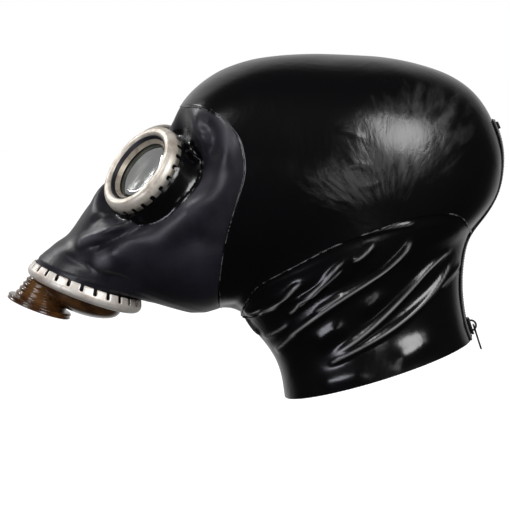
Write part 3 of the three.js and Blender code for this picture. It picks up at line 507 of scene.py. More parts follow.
def block(size, centre, bevel=0.0, segments=2):
    """Block in millimetres with rounded edges."""
    bm = bmesh.new()
    bmesh.ops.create_cube(bm, size=1)
    bmesh.ops.scale(bm, vec=Vector(size) * MM, verts=bm.verts)
    if bevel:
        bmesh.ops.bevel(bm, geom=list(bm.edges), offset=bevel * MM, offset_type="OFFSET", segments=segments,
                        profile=0.5, affect="EDGES", material=-1, clamp_overlap=True)
    bmesh.ops.translate(bm, vec=Vector(centre) * MM, verts=bm.verts)
    return bm


def joined(*meshes):
    """One bmesh holding several."""
    whole = bmesh.new()
    for bm in meshes:
        mesh = bpy.data.meshes.new("part")
        bm.to_mesh(mesh)
        bm.free()
        whole.from_mesh(mesh)
        bpy.data.meshes.remove(mesh)
    return whole


def made(name, bm, finish=None, modifiers=()):
    """Object from a bmesh, with its finish and modifiers."""
    mesh = bpy.data.meshes.new(name)
    bm.to_mesh(mesh)
    bm.free()
    mesh.polygons.foreach_set("use_smooth", [True] * len(mesh.polygons))
    piece = bpy.data.objects.new(name, mesh)
    bpy.context.collection.objects.link(piece)
    if finish:
        mesh.materials.append(finish)
    for kind, settings in modifiers:
        modifier = piece.modifiers.new(kind.title(), kind)
        for key, value in settings.items():
            setattr(modifier, key, value)
    return piece


def wall(thickness, offset=-1):
    return "SOLIDIFY", {"thickness": thickness * MM, "offset": offset}


def rounded(levels):
    return "SUBSURF", {"levels": levels, "render_levels": levels}


def applied(piece):
    """The piece's mesh as its modifiers leave it, in a fresh bmesh; the piece is removed."""
    depsgraph = bpy.context.evaluated_depsgraph_get()
    mesh = bpy.data.meshes.new_from_object(piece.evaluated_get(depsgraph))
    bm = bmesh.new()
    bm.from_mesh(mesh)
    bpy.data.meshes.remove(mesh)
    old = piece.data
    bpy.data.objects.remove(piece)
    bpy.data.meshes.remove(old)
    return bm


def fitted(piece, body, slot, *nodes):
    """The piece rides on its body and stands for its nodes; slot is not used."""
    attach(piece, body)
    if nodes:
        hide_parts(*nodes)
    return piece


def mask_piece(name, bm, place, finish, modifiers, slot, *nodes):
    """Piece of the mask from a bmesh that is moved to its place."""
    bm.transform(place)
    return fitted(made(name, bm, finish, modifiers), "mask", slot, *nodes)


# Shader finishes

class Wire:
    """One output of a finish's nodes, with sums that add Math nodes."""

    def __init__(self, finish, socket):
        self.finish = finish
        self.socket = socket

    def math(self, operation, *values):
        return self.finish.node("ShaderNodeMath", {"operation": operation}, dict(enumerate(values)))

    def __add__(self, other):
        return self.math("ADD", self, other)

    __radd__ = __add__

    def __mul__(self, other):
        return self.math("MULTIPLY", self, other)

    __rmul__ = __mul__

    def __sub__(self, other):
        return self.math("SUBTRACT", self, other)

    def __rsub__(self, other):
        return self.math("SUBTRACT", other, self)

    def __truediv__(self, other):
        return self.math("DIVIDE", self, other)

    def __pow__(self, other):
        return self.math("POWER", self, other)

    def between(self, low, high):
        """0 below low, 1 above high, eased between them."""
        return self.finish.node("ShaderNodeMapRange", {"interpolation_type": "SMOOTHSTEP"},
                                {"Value": self, "From Min": low, "From Max": high}, "Result")


class Finish:
    """A material on the Principled shader."""

    def __init__(self, name, **constants):
        self.material = bpy.data.materials.new(name)
        self.material.use_nodes = True
        self.tree = self.material.node_tree
        self.shader = self.tree.nodes["Principled BSDF"]
        for key, value in constants.items():
            self.shader.inputs[key.replace("_", " ")].default_value = value
        self.coords = self.node("ShaderNodeTexCoord", out="Object")

    def feed(self, socket, value):
        if isinstance(value, Wire):
            self.tree.links.new(value.socket, socket)
        else:
            socket.default_value = value

    def node(self, kind, settings=None, inputs=None, out=0):
        node = self.tree.nodes.new(kind)
        for key, value in (settings or {}).items():
            setattr(node, key, value)
        for key, value in (inputs or {}).items():
            self.feed(node.inputs[key], value)
        return Wire(self, node.outputs[out])

    def speckle(self, scale, detail=3.0, roughness=0.55, stretch=None, distortion=0.0):
        place = self.coords
        if stretch:
            place = self.node("ShaderNodeMapping", {}, {"Vector": self.coords, "Scale": stretch})
        return self.node("ShaderNodeTexNoise", {}, {
            "Vector": place, "Scale": scale, "Detail": detail, "Roughness": roughness,
            "Distortion": distortion}, "Fac")

    def parts(self, vector):
        node = self.tree.nodes.new("ShaderNodeSeparateXYZ")
        self.feed(node.inputs[0], vector)
        return [Wire(self, socket) for socket in node.outputs]

    def mix(self, share, first, second):
        node = self.tree.nodes.new("ShaderNodeMix")
        node.data_type = "RGBA"
        self.feed(node.inputs["Factor"], share)
        for socket, color in zip((s for s in node.inputs if s.type == "RGBA"), (first, second)):
            self.feed(socket, color)
        return Wire(self, next(s for s in node.outputs if s.type == "RGBA"))

    def attribute(self, name):
        return self.node("ShaderNodeAttribute", {"attribute_name": name}, {}, "Fac")

    def paint(self, color, roughness, height=None, depth=0.0002):
        """Colour, roughness and fine relief go to the shader; the material is ready."""
        self.feed(self.shader.inputs["Base Color"], color)
        self.feed(self.shader.inputs["Roughness"], roughness)
        if height is not None:
            bump = self.node("ShaderNodeBump", {}, {"Height": height, "Distance": depth, "Strength": 1.0})
            self.feed(self.shader.inputs["Normal"], bump)
        return self.material


# Back and up, in metres, of the foot of the wiping strokes and the middles of the two ovals of wiping and
# painted highlight
FAN_FOOT = (0.046, -0.114)
LARGE_OVAL = (0.052, -0.060)
SMALL_OVAL = (0.024, -0.086)
OVAL_COSINE, OVAL_SINE = 0.80, 0.60


def wiping_and_highlight_patch(latex, blotches):
    """Wiping on the head in two ragged ovals that also mark a painted highlight, and the strokes that fan out
    from below them.
    """
    _, back, up = latex.parts(latex.coords)
    foot_back, foot_up = back - FAN_FOOT[0], up - FAN_FOOT[1]
    reach = (foot_back ** 2 + foot_up ** 2) ** 0.5
    blunt = (foot_back ** 2 + foot_up ** 2 + 0.0001) ** 0.5
    fan = latex.node("ShaderNodeCombineXYZ", {}, {"X": foot_back / blunt, "Y": foot_up / blunt, "Z": reach * 6})
    strokes = latex.node("ShaderNodeTexNoise", {}, {
        "Vector": fan, "Scale": 11.0, "Detail": 4.0, "Roughness": 0.55, "Distortion": 0.35}, "Fac")
    large_back, large_up = back - LARGE_OVAL[0], up - LARGE_OVAL[1]
    length = (large_back * OVAL_COSINE + large_up * OVAL_SINE) * 25
    width = (large_up * OVAL_COSINE - large_back * OVAL_SINE) * 42
    large = (length ** 2 + width ** 2) ** 0.5
    small = (((back - SMALL_OVAL[0]) * 36) ** 2 + ((up - SMALL_OVAL[1]) * 80) ** 2) ** 0.5 + 0.1
    oval = large.math("MINIMUM", large, small) + (blotches - 0.5) * 0.6 - (strokes - 0.5) * 1.2
    return (1.0 - oval).between(-0.5, 0.6) * reach.between(0.008, 0.04), strokes


def gloss_rubber():
    """Polished latex: near-black, hand-wiped on the head with a painted highlight there, and painted highlight
    lines on the crests of sharp folds and along the seam beads.
    """
    latex = Finish("polished_rubber", IOR=1.5)
    blotches = latex.speckle(16, 4, 0.6, distortion=0.6)
    peel = latex.speckle(420, 2, 0.5)
    dust = latex.speckle(900, 2, 0.7).between(0.62, 0.78)
    wiped_and_highlight, strokes = wiping_and_highlight_patch(latex, blotches)
    crest = latex.attribute("crest")
    seam = latex.attribute("seam")
    # Dashes of painted highlight along the tops of the seam beads.
    highlight_dashes = latex.speckle(260, 2, 0.6).between(0.42, 0.62)
    wear_and_painted_highlight = wiped_and_highlight * strokes.between(0.25, 0.8)
    # Painted highlight: the head's wiping ovals are coloured lighter grey where the light's reflection falls.
    color = latex.mix(wear_and_painted_highlight, (0.0008, 0.0008, 0.0012, 1), (0.034, 0.034, 0.035, 1))
    # Painted highlight: pale lines along the fold crests and dashes along the seam beads' tops stand in for
    # reflected light.
    color = latex.mix(crest * (blotches * 1.5 - 0.15) + seam * highlight_dashes * 0.4, color, (0.26, 0.26, 0.265, 1))
    roughness = 0.21 + wiped_and_highlight * 0.05 + wear_and_painted_highlight * 0.08 + dust * 0.05 + crest * 0.15
    return latex.paint(color, roughness, peel * 0.06 + blotches * 1.2 + wiped_and_highlight * strokes * 0.45, 0.0006)


def matt_rubber():
    """Moulded rubber with a dull bloom, rubbed smoother in places, painted highlights on the muzzle fold and
    cheek bulge, and polished on the eye cups.
    """
    moulded = Finish("moulded_rubber", IOR=1.48)
    bloom = moulded.speckle(22, 5, 0.62, distortion=0.4)
    grain = moulded.speckle(520, 3, 0.6)
    rubbed = moulded.speckle(60, 3, 0.5, stretch=(1, 1, 0.4)).between(0.45, 0.75)
    polish = moulded.attribute("polish")
    color = moulded.mix(bloom.between(0.3, 0.75), (0.0030, 0.0027, 0.0048, 1), (0.0098, 0.0086, 0.0150, 1))
    wear_and_painted_highlight = moulded.attribute("rubbed")
    # Painted highlight: the rubbed spots are coloured lighter grey where light catches the muzzle fold and the
    # cheek bulge.
    color = moulded.mix(wear_and_painted_highlight * (0.3 + bloom * 0.8), color, (0.095, 0.090, 0.105, 1))
    color = moulded.mix(polish, color, (0.0010, 0.0010, 0.0012, 1))
    roughness = 0.36 + bloom * 0.12 - rubbed * 0.08 - wear_and_painted_highlight * 0.08 - polish * 0.22
    return moulded.paint(color, roughness, grain * 0.25 * (1 - polish) + bloom * 0.8, 0.0003)


def dull_metal(name, light, dark, rough, scale):
    """Pressed metal gone dull, with fine scratches, darker stains and painted shade toward the rear edge."""
    metal = Finish(name, Metallic=0.5)
    stains = metal.speckle(90 * scale, 5, 0.65, distortion=0.8)
    scratches = metal.speckle(260 * scale, 3, 0.6, stretch=(1.0, 0.12, 1.6))
    pits = metal.speckle(1400, 2, 0.6).between(0.62, 0.74)
    color = metal.mix(stains.between(0.4, 0.72), light, dark)
    # Painted shade: the ring darkens toward its rear edge by the face, where shade falls.
    painted_rear_shade = metal.attribute("painted_rear_shade")
    color = metal.mix(painted_rear_shade * (0.55 + stains * 0.5), color, (0.035, 0.032, 0.028, 1))
    color = metal.mix(pits * 0.5, color, tuple(0.45 * part for part in dark[:3]) + (1,))
    roughness = rough + stains * 0.16 + pits * 0.15
    return metal.paint(color, roughness, scratches * 0.6 + stains * 0.5 - pits * 0.6, 0.00012)


def amber_plastic():
    """Brown moulded plastic, cloudy and slightly clear."""
    amber = Finish("amber_plastic", IOR=1.5, Coat_Weight=0.6, Coat_Roughness=0.05)
    clouds = amber.speckle(60, 2, 0.5)
    flow = amber.speckle(240, 2, 0.5, stretch=(0.4, 1, 1))
    color = amber.mix(clouds.between(0.35, 0.7), (0.030, 0.011, 0.003, 1), (0.10, 0.042, 0.010, 1))
    return amber.paint(color, 0.14 + flow * 0.12, flow * 0.5 + clouds * 0.5, 0.0001)


def clear_glass():
    """Old lens glass with a greenish tone and light smears."""
    glass = Finish("lens_glass", IOR=1.5, Transmission_Weight=0.55)
    smears = glass.speckle(80, 4, 0.6, stretch=(1, 0.4, 0.4))
    color = glass.mix(smears.between(0.35, 0.75), (0.030, 0.036, 0.030, 1), (0.075, 0.082, 0.070, 1))
    return glass.paint(color, 0.03 + smears.between(0.5, 0.8) * 0.1, smears * 0.2, 0.00005)


def woven_tape():
    """Zip tape in a fine twill that follows the strip."""
    tape = Finish("woven_tape", Sheen_Weight=0.3, Sheen_Roughness=0.5)
    strip = tape.node("ShaderNodeTexCoord", out="UV")
    place = tape.node("ShaderNodeMapping", {}, {
        "Vector": strip, "Scale": (12, 170, 1), "Rotation": (0, 0, 0.35)})
    twill = tape.node("ShaderNodeTexWave", {"bands_direction": "DIAGONAL"},
                      {"Vector": place, "Scale": 1.0, "Distortion": 0.6, "Detail": 1.0}, "Fac")
    fuzz = tape.speckle(1600, 2, 0.6)
    color = tape.mix(twill * 0.7 + fuzz * 0.3, (0.004, 0.004, 0.0045, 1), (0.022, 0.022, 0.024, 1))
    return tape.paint(color, 0.62 + fuzz * 0.2, twill + fuzz * 0.4, 0.0002)


def black_metal():
    """Black enamelled zip metal with bright worn edges."""
    enamel = Finish("black_enamel", Metallic=0.6)
    chips = enamel.speckle(700, 4, 0.7).between(0.62, 0.72)
    ripple = enamel.speckle(240, 2, 0.5)
    color = enamel.mix(chips, (0.012, 0.012, 0.013, 1), (0.16, 0.155, 0.15, 1))
    return enamel.paint(color, 0.2 + ripple * 0.18, ripple * 0.5 - chips * 0.3, 0.0001)


def zip_plastic():
    """Moulded zip teeth."""
    nylon = Finish("zip_nylon", IOR=1.5)
    grain = nylon.speckle(900, 3, 0.6)
    color = nylon.mix(grain, (0.006, 0.006, 0.0065, 1), (0.02, 0.02, 0.021, 1))
    return nylon.paint(color, 0.28 + grain * 0.2, grain, 0.00008)


RUBBER = gloss_rubber()
FACE_RUBBER = matt_rubber()
RIM_METAL = dull_metal("rim_metal", (0.54, 0.50, 0.44, 1), (0.34, 0.29, 0.24, 1), 0.34, 1.0)
INNER_METAL = dull_metal("inner_metal", (0.36, 0.32, 0.26, 1), (0.20, 0.16, 0.12, 1), 0.30, 1.2)
CLAMP_METAL = dull_metal("clamp_metal", (0.64, 0.61, 0.56, 1), (0.42, 0.35, 0.31, 1), 0.32, 0.7)
AMBER = amber_plastic()
GLASS = clear_glass()
TAPE = woven_tape()
ENAMEL = black_metal()
NYLON = zip_plastic()


# Hood and collar

HOOD_GRID = (288, 120)
COLLAR_GRID = (340, 134)
COLLAR_SLANT = 0.5


def slit_angle(station):
    """Half angle of the zip's slit, closed above the zip."""
    half = section_at(station)[..., 4]
    open_share = ease(station, ZIP_TOP_STATION, ZIP_TOP_STATION + 0.5)
    return np.arcsin(ZIP_SLIT / 2 / half) * open_share


def rubber_sheet(across, along, start, end, detail, lap, slant=0.0, **marks):
    """Sheet of hood rubber between two seams, open along the zip's slit.

    lap(v) lifts its lapped edges, slant leans its columns along the folds, and each mark is a
    function of the plain points.
    """
    plain = []

    def place(u, v):
        half = np.minimum(u, 1 - u) * 2
        half = half + slant * (2 * v - 1) * half * (1 - half)
        u = np.where(u > 0.5, 1 - half / 2, half / 2)
        plain_angle = 2 * math.pi * u
        low, high = start(plain_angle), end(plain_angle)
        station = low + (high - low) * v
        gap = slit_angle(station)
        angle = gap + (2 * math.pi - 2 * gap) * u
        points = plain_point(station, angle)
        normals = plain_normal(station, angle)
        plain.append(points)
        return points + normals * (detail(points) + lap(v))[..., None]

    kept = {name: lambda u, v, mark=mark: mark(plain[0]) for name, mark in marks.items()}
    return sheet_grid(across, along, place, marks=kept)


def hood_detail(points):
    height = -socket_depth(points) + uneven(points, 46, 0.9, 1) + uneven(points, 17, 0.2, 2)
    return height + sum(ridge_height(points, *wrinkle) for wrinkle in HOOD_WRINKLES)


def collar_detail(points):
    return fold_height(points) + uneven(points, 38, 0.6, 3) + uneven(points, 14, 0.15, 4)


hood_head = made(
    "hood_head_skin",
    rubber_sheet(*HOOD_GRID, face_seam, lambda a: collar_seam(a) + 0.02, hood_detail,
                 lambda v: 0.35 - 0.25 * ease(v, 0, 0.08)),
    RUBBER, [wall(HOOD_WALL)])
fitted(hood_head, "mask", "hood_rubber", "hood_head")

hood_collar = made(
    "hood_collar_skin",
    rubber_sheet(*COLLAR_GRID, lambda a: collar_seam(a) - 0.1, lambda a: HEM_STATION + 0 * a, collar_detail,
                 lambda v: -0.35 + 0.35 * ease(v, 0.03, 0.10), COLLAR_SLANT, crest=fold_crest),
    RUBBER, [wall(HOOD_WALL)])
fitted(hood_collar, "mask", "hood_rubber", "hood_collar")


def seam_bead(name, seam, detail, width, height, rest):
    """Thin raised line over a seam, resting a little above the rubber, with a painted highlight along its top.
    """
    def place(u, v):
        angle = 2 * math.pi * u
        station = seam(angle)
        probe = 0.02
        ahead = plain_point(station + probe, angle) - plain_point(station, angle)
        pace = np.linalg.norm(ahead, axis=-1) / probe
        turn = 2 * math.pi * v
        across = -width / 2 * np.cos(turn)
        lift = height * np.sin(turn) * np.where(np.sin(turn) > 0, 1, 0.8)
        place_at = station + across / pace
        points = plain_point(place_at, angle)
        normals = plain_normal(place_at, angle)
        return points + normals * (detail(points) + rest + lift)[..., None]

    # The bead's top line, where a dotted painted highlight goes.
    def painted_highlight_line(u, v):
        return np.maximum(0, np.sin(2 * math.pi * v)) ** 6

    fitted(made(name, sheet_grid(320, 10, place, marks={"seam": painted_highlight_line}), RUBBER), "mask", "hood_rubber")


seam_bead("face_seam_bead", face_seam, hood_detail, 1.1, 0.3, 0.3)
seam_bead("collar_seam_bead", collar_seam, collar_detail, 1.2, 0.35, 0.05)


# Moulded face with its eye cups

CUP_SIDES = 96
CUP_FILL = 8.0
CUP_FILL_RADIUS = 41
CUP_FILL_WIDTH = 9
CUP_FOOT_RADII = (32.0, 46.0)
CUP_FOOT_HEIGHT = -13
POLISH_RADIUS = 37.8
POLISH_LEAN = 3.0
FACE_GRID = (256, 90)
VOXEL = 1.35
ROOM_PROFILE = [(0, 14), (33.9, 14), (33.9, -9.8), (0, -9.8)]
CUP_PROFILE = [
    (0, -1.7), (31.4, -1.7), (31.4, -9.6), (33.2, -11.2), (33.6, -16), (34.4, -22), (36.6, -30),
    (38.0, -40), (0, -40),
]
BORE_PROFILE = [(0, 14), (27.2, 14), (27.2, -9.4), (24.2, -9.4), (24.2, -52), (0, -52)]

# Rubbed spots of the face, also painted lighter as highlights on the muzzle fold and the cheek bulge: share,
# path, lift and width
RUBBED_HIGHLIGHT_SPOTS = [
    (1.0, FACE_FOLDS[0][0], 3.4, 2.8),
    (0.9, ((3.6, 75), (4.0, 77)), 3.6, 5.0),
    (0.45, ((11.0, 36), (11.4, 48), (11.65, 58.5), (11.7, 67)), 1.4, 5.0),
    (0.4, ((10.9, 78), (9.6, 82), (8.2, 80)), 1.8, 8.0),
]


def to_eye(side):
    axis, centre = EYES[side]
    turn = Vector((0, 0, 1)).rotation_difference(Vector(axis))
    return Matrix.Translation(Vector(centre) * MM) @ turn.to_matrix().to_4x4()


def closed_tube(across, along, start, end, thickness, detail):
    """Tube wall as a closed solid."""
    def place(u, v):
        ring = np.minimum(v, 1 - v) * 2
        lift = np.where(v > 0.5, -thickness, 0)
        angle = 2 * math.pi * u
        low, high = start(angle), end(angle)
        station = low + (high - low) * ring
        return face_point(station, angle, lift, detail)
    bm = sheet_grid(across, 2 * along + 1, place)
    bmesh.ops.bridge_loops(bm, edges=[edge for edge in bm.edges if edge.is_boundary])
    bmesh.ops.recalc_face_normals(bm, faces=bm.faces)
    return bm


def face_point(station, angle, lift, detail):
    points = plain_point(station, angle)
    normals = plain_normal(station, angle)
    return points + bead_shift(points) + normals * (lift - socket_depth(points) + detail(points))[..., None]


def face_detail(points):
    """Folds of the face and the fuller rubber below each eye cup."""
    folds = sum(ridge_height(points, *fold) for fold in FACE_FOLDS)
    height, radius, turn = round_eye(points)
    below = ease(turn, -0.4, 0.8) * ease(height, -50, -30)
    full = CUP_FILL * below * np.exp(-((radius - CUP_FILL_RADIUS) / CUP_FILL_WIDTH) ** 2)
    return folds + full + uneven(points, 30, 0.7, 5)


def face_hollow():
    """Everything inside the face wall, as a closed solid."""
    def place(u, v):
        station = v * NAPE_STATION
        return face_point(station, 2 * math.pi * u, -FACE_WALL, lambda points: 0 * points[..., 0])
    bm = sheet_grid(128, 90, place)
    bmesh.ops.holes_fill(bm, edges=[edge for edge in bm.edges if edge.is_boundary], sides=0)
    bmesh.ops.recalc_face_normals(bm, faces=bm.faces)
    return bm


def cut_with(target, tool, operation):
    modifier = target.modifiers.new("Cut", "BOOLEAN")
    modifier.operation = operation
    modifier.solver = "MANIFOLD"
    modifier.object = tool


def face_shape():
    """The face wall with a cup and a bore for each eye, as one even mesh."""
    shell = made("face_shell", closed_tube(
        *FACE_GRID, lambda a: 0 * a + 0.02, lambda a: face_seam(a) + 0.16, FACE_WALL, face_detail))
    hollow = made("face_hollow", face_hollow())
    tools, bores = [hollow], []
    for side in EYES:
        parts = []
        for name, profile in (("room", ROOM_PROFILE), ("cup", CUP_PROFILE), ("bore", BORE_PROFILE)):
            bm = lathe(profile, CUP_SIDES)
            bm.transform(to_eye(side))
            parts.append(made(f"{name}_{side}", bm))
        room, cup, bore = parts
        cut_with(cup, hollow, "DIFFERENCE")
        cut_with(shell, room, "DIFFERENCE")
        cut_with(shell, cup, "UNION")
        tools += parts
        bores.append(bore)
    for bore in bores:
        cut_with(shell, bore, "DIFFERENCE")
    remesh = shell.modifiers.new("Remesh", "REMESH")
    remesh.mode = "VOXEL"
    remesh.voxel_size = VOXEL * MM
    bm = applied(shell)
    for tool in tools:
        mesh = tool.data
        bpy.data.objects.remove(tool)
        bpy.data.meshes.remove(mesh)
    return bm


def soften(bm):
    """Rounds the voxel steps, and more so where a cup grows out of the face."""
    points = np.array([vert.co for vert in bm.verts]) / MM
    height, radius, turn = round_eye(points)
    foot = (radius > CUP_FOOT_RADII[0]) & (radius < CUP_FOOT_RADII[1]) & (height < CUP_FOOT_HEIGHT)
    foot_verts = [vert for vert, inside in zip(bm.verts, foot) if inside]
    for verts, rounds in ((bm.verts, 3), (foot_verts, 6)):
        for _ in range(rounds):
            bmesh.ops.smooth_vert(bm, verts=verts, factor=0.5,
                                  use_axis_x=True, use_axis_y=True, use_axis_z=True)
    edge = POLISH_RADIUS - POLISH_LEAN * turn
    keep_mark(bm, "polish", (1 - ease(radius - edge, -0.6, 1.6)) * ease(height, -60, -50))
    # The rubbed spots also carry a painted highlight in the face's colour.
    wear_and_painted_highlight = [share * crest_share(points, *spot) for share, *spot in RUBBED_HIGHLIGHT_SPOTS]
    keep_mark(bm, "rubbed", np.max(wear_and_painted_highlight, axis=0))
    return bm


face_piece = made("face_skin", soften(face_shape()), FACE_RUBBER)
fitted(face_piece, "mask", "face_rubber", "face_piece")


# Eyepieces

RIM_PROFILE = [
    (33.5, -9.8), (33.5, -8.4), (33.45, -7.2), (33.3, -6.0), (33.0, -4.4), (32.6, -3.0), (31.8, -1.5),
    (30.6, -0.5), (29.2, 0.0), (28.4, -0.25), (28.0, -0.05), (27.0, -0.1), (26.0, -0.6), (25.5, -1.6),
    (25.4, -3.0), (25.4, -6.4),
]
RETAINER_PROFILE = [
    (23.7, -4.0), (23.8, -6.5), (21.3, -6.5), (21.3, -6.1), (21.7, -5.9), (21.8, -5.4), (22.4, -5.3),
    (22.5, -4.7), (23.0, -4.6), (23.1, -3.9), (23.4, -3.7),
]
GASKET_PROFILE = [(25.35, -1.4), (25.35, -6.5), (23.7, -6.5), (23.7, -6.1), (24.5, -5.7), (24.7, -1.7)]
LENS_PROFILE = [
    (0, -6.75), (8, -6.78), (16, -6.86), (26.6, -6.95), (26.8, -7.4), (26.8, -8.6), (26.5, -8.9), (0, -8.9),
]

THIN_BEVEL = "BEVEL", {"width": 0.12 * MM, "segments": 2, "limit_method": "ANGLE"}

for side in EYES:
    place = to_eye(side)
    mask_piece(f"eye_rim_{side}", pressed_ring(RIM_PROFILE, 24, 0.36, 3, 0.0, (4.5, 8.0)), place, RIM_METAL,
               [wall(1.1), rounded(1)], "eye_metal", f"eye_ring_{side}")
    mask_piece(f"eye_inner_ring_{side}", lathe(RETAINER_PROFILE, 128), place, INNER_METAL,
               [THIN_BEVEL], "eye_metal", f"eye_retainer_{side}")
    mask_piece(f"eye_gasket_{side}", lathe(GASKET_PROFILE), place, FACE_RUBBER, [], "face_rubber")
    mask_piece(f"eye_glass_{side}", lathe(LENS_PROFILE), place, GLASS, [], "lens_glass", f"eye_lens_{side}")


# Valve

VALVE_PLACE = Matrix((
    (-1, 0, 0, 0),
    (0, VALVE_ACROSS[0], VALVE_AXIS[0], VALVE_CENTRE[0] * MM),
    (0, VALVE_ACROSS[1], VALVE_AXIS[1], VALVE_CENTRE[1] * MM),
    (0, 0, 0, 1),
))
CLAMP_PROFILE = [
    (39.6, 0.0), (40.3, 1.5), (40.9, 3.0), (41.5, 4.6), (41.9, 5.6), (42.0, 6.6), (41.8, 7.9), (41.3, 9.1),
    (40.2, 10.2), (38.6, 11.0), (36.8, 11.3), (35.2, 11.2), (34.2, 10.9),
]
mask_piece("clamp_ring", pressed_ring(CLAMP_PROFILE, 26, 0.27, 3, 0.14, (50, 60)), VALVE_PLACE, CLAMP_METAL,
           [wall(1.4), rounded(1)], "clamp_metal", "valve_ring")


def neck_profile():
    base, top, count = 11.6, 27.2, 4
    rows = [(12.9, base - 2.5), (13.0, base)]
    pitch = (top - base) / (count + 0.3)
    for i in range(count):
        middle = base + pitch * (i + 0.75)
        radius = 13.0 + 5.4 * (middle - base) / (top - base)
        rows += [(radius - 0.5, middle - pitch * 0.42), (radius + 0.75, middle - pitch * 0.26),
                 (radius + 1.15, middle), (radius + 0.75, middle + pitch * 0.26)]
    rows += [(18.3, top - 0.3), (18.9, top), (22.3, top + 0.15), (23.1, top + 0.7), (23.3, top + 1.5),
             (22.7, top + 2.1), (22.7, top + 2.6), (23.3, top + 3.2), (23.1, top + 3.9), (22.4, top + 4.4),
             (17.0, top + 4.4), (16.4, top + 3.9), (15.9, top), (11.2, base), (10.8, base - 2.5)]
    return rows


CAP_PROFILE = [
    (37.6, 7.2), (37.7, 9.0), (33.5, 9.3), (33.4, 11.4), (30.0, 11.9), (29.5, 12.4), (29.2, 14.6), (28.4, 16.9),
    (26.6, 18.8), (23.6, 20.6), (19.0, 22.3), (13.0, 23.7), (6.5, 24.4), (0.0, 24.5), (0.0, 22.5), (9.0, 22.1),
    (18.0, 20.2), (24.0, 17.6), (27.0, 13.4), (27.2, 7.0),
]

neck = lathe(neck_profile(), 128)
bmesh.ops.translate(neck, vec=(0, -NECK_OFFSET * MM, 0), verts=neck.verts)
mask_piece("ribbed_neck", neck, VALVE_PLACE, AMBER, [rounded(1)], "valve_plastic", "inlet_neck")
mask_piece("valve_dome", lathe(CAP_PROFILE, 128), VALVE_PLACE, AMBER, [rounded(1)], "valve_plastic", "valve_cap")


# Zip

def back_frame(station, lift):
    """Place on the back centre line: local Z points out and local Y up along the zip."""
    normal = Vector(plain_normal(station, 0.0))
    across = Vector((-1, 0, 0))
    up = normal.cross(across)
    point = Vector(plain_point(station, 0.0)) + normal * lift
    turn = Matrix((across, up, normal)).transposed().to_4x4()
    return Matrix.Translation(point * MM) @ turn


def zip_stations(count):
    """Stations spaced evenly in millimetres from the top of the zip to the hem."""
    fine = np.linspace(ZIP_TOP_STATION, HEM_STATION, 600)
    points = plain_point(fine, 0 * fine)
    length = np.concatenate(([0], np.cumsum(np.linalg.norm(np.diff(points, axis=0), axis=-1))))
    return np.interp(np.linspace(0, length[-1], count), length, fine), length[-1]


def tape_sheet(hand):
    stations, _ = zip_stations(161)

    def place(u, v):
        station = np.interp(v, np.linspace(0, 1, 161), stations)
        half = section_at(station)[..., 4]
        offset = 2.3 + (TAPE_WIDTH / 2 - 2.3) * u
        angle = hand * np.arcsin(offset / half)
        lift = TAPE_LIFT + 0.8 + 0.12 * np.sin(u * math.pi)
        return plain_point(station, angle) + plain_normal(station, angle) * np.expand_dims(lift, -1)
    return sheet_grid(10, 160, place, closed=False)


for side, hand in (("left", 1), ("right", -1)):
    tape_piece = made(f"zip_tape_weave_{side}", tape_sheet(hand), TAPE, [wall(0.8, -hand)])
    fitted(tape_piece, "mask", "zip_fabric", f"zip_tape_{side}")


def zip_row():
    """Two interlocked rows of moulded teeth."""
    pitch = 1.9
    _, length = zip_stations(2)
    count = int(length / pitch) * 2
    stations, _ = zip_stations(count)
    parts = []
    for i, station in enumerate(stations[1:-1]):
        hand = 1 if i % 2 else -1
        tooth = block((2.3, 0.85, 1.3), (hand * 0.8, 0, TAPE_LIFT + 0.8), 0.18, 1)
        tooth.transform(back_frame(float(station), 0))
        parts.append(tooth)
    return joined(*parts)


fitted(made("zip_teeth_row", zip_row(), NYLON), "mask", "zip_plastic", "zip_teeth")


def box_middle(node):
    low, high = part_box(node)
    return (low + high) / 2


def station_near(point):
    stations = np.linspace(ZIP_TOP_STATION, HEM_STATION, 800)
    line = plain_point(stations, 0 * stations) * MM
    return float(stations[np.argmin(np.linalg.norm(line - np.array(point), axis=-1))])


stop = joined(block((5.6, 5, 1.1), (0, 0, 2.2), 0.35), block((1.1, 5, 1.9), (2.5, 0, 1.75), 0.3),
              block((1.1, 5, 1.9), (-2.5, 0, 1.75), 0.3))
stop_place = back_frame(station_near(box_middle("zip_stop")), TAPE_LIFT)
mask_piece("zip_top_stop", stop, stop_place, ENAMEL, [], "zip_metal", "zip_stop")


def slider_shape():
    """Slider body with a waisted plate, side flanges and a round bail."""
    plate = block((9, 12, 1.5), (0, 0, 2.75), 0.0)
    bmesh.ops.subdivide_edges(plate, edges=plate.edges, cuts=6, use_grid_fill=True)
    for vert in plate.verts:
        along = vert.co.y / MM / 6
        vert.co.x *= 0.80 + 0.20 * max(along, -along * 0.4) ** 1.2
    flanges = [block((1.3, 11, 2.0), (hand * 3.6, 0, 2.4), 0.4) for hand in (-1, 1)]
    bail = bmesh.new()
    bmesh.ops.create_grid(bail, x_segments=28, y_segments=10, size=0.5)
    for vert in bail.verts:
        turn = math.pi * (vert.co.x + 0.5)
        tube = 2 * math.pi * (vert.co.y + 0.5)
        radius = 0.7 * math.cos(tube)
        vert.co = Vector((0.95 * math.sin(tube), -(3.6 + radius) * math.cos(turn),
                          3.4 + (3.4 + radius) * math.sin(turn))) * MM
    bmesh.ops.remove_doubles(bail, verts=bail.verts, dist=1e-6)
    bmesh.ops.recalc_face_normals(bail, faces=bail.faces)
    return joined(plate, *flanges, bail)


pull_place = frame["record"]["behaviour"]["joints"][0]["pos_m"]
runner_place = back_frame(station_near(pull_place), TAPE_LIFT)
slider_bevel = "BEVEL", {"width": 0.25 * MM, "segments": 2, "limit_method": "ANGLE"}
mask_piece("zip_slider_body", slider_shape(), runner_place, ENAMEL, [slider_bevel], "zip_metal", "zip_slider")


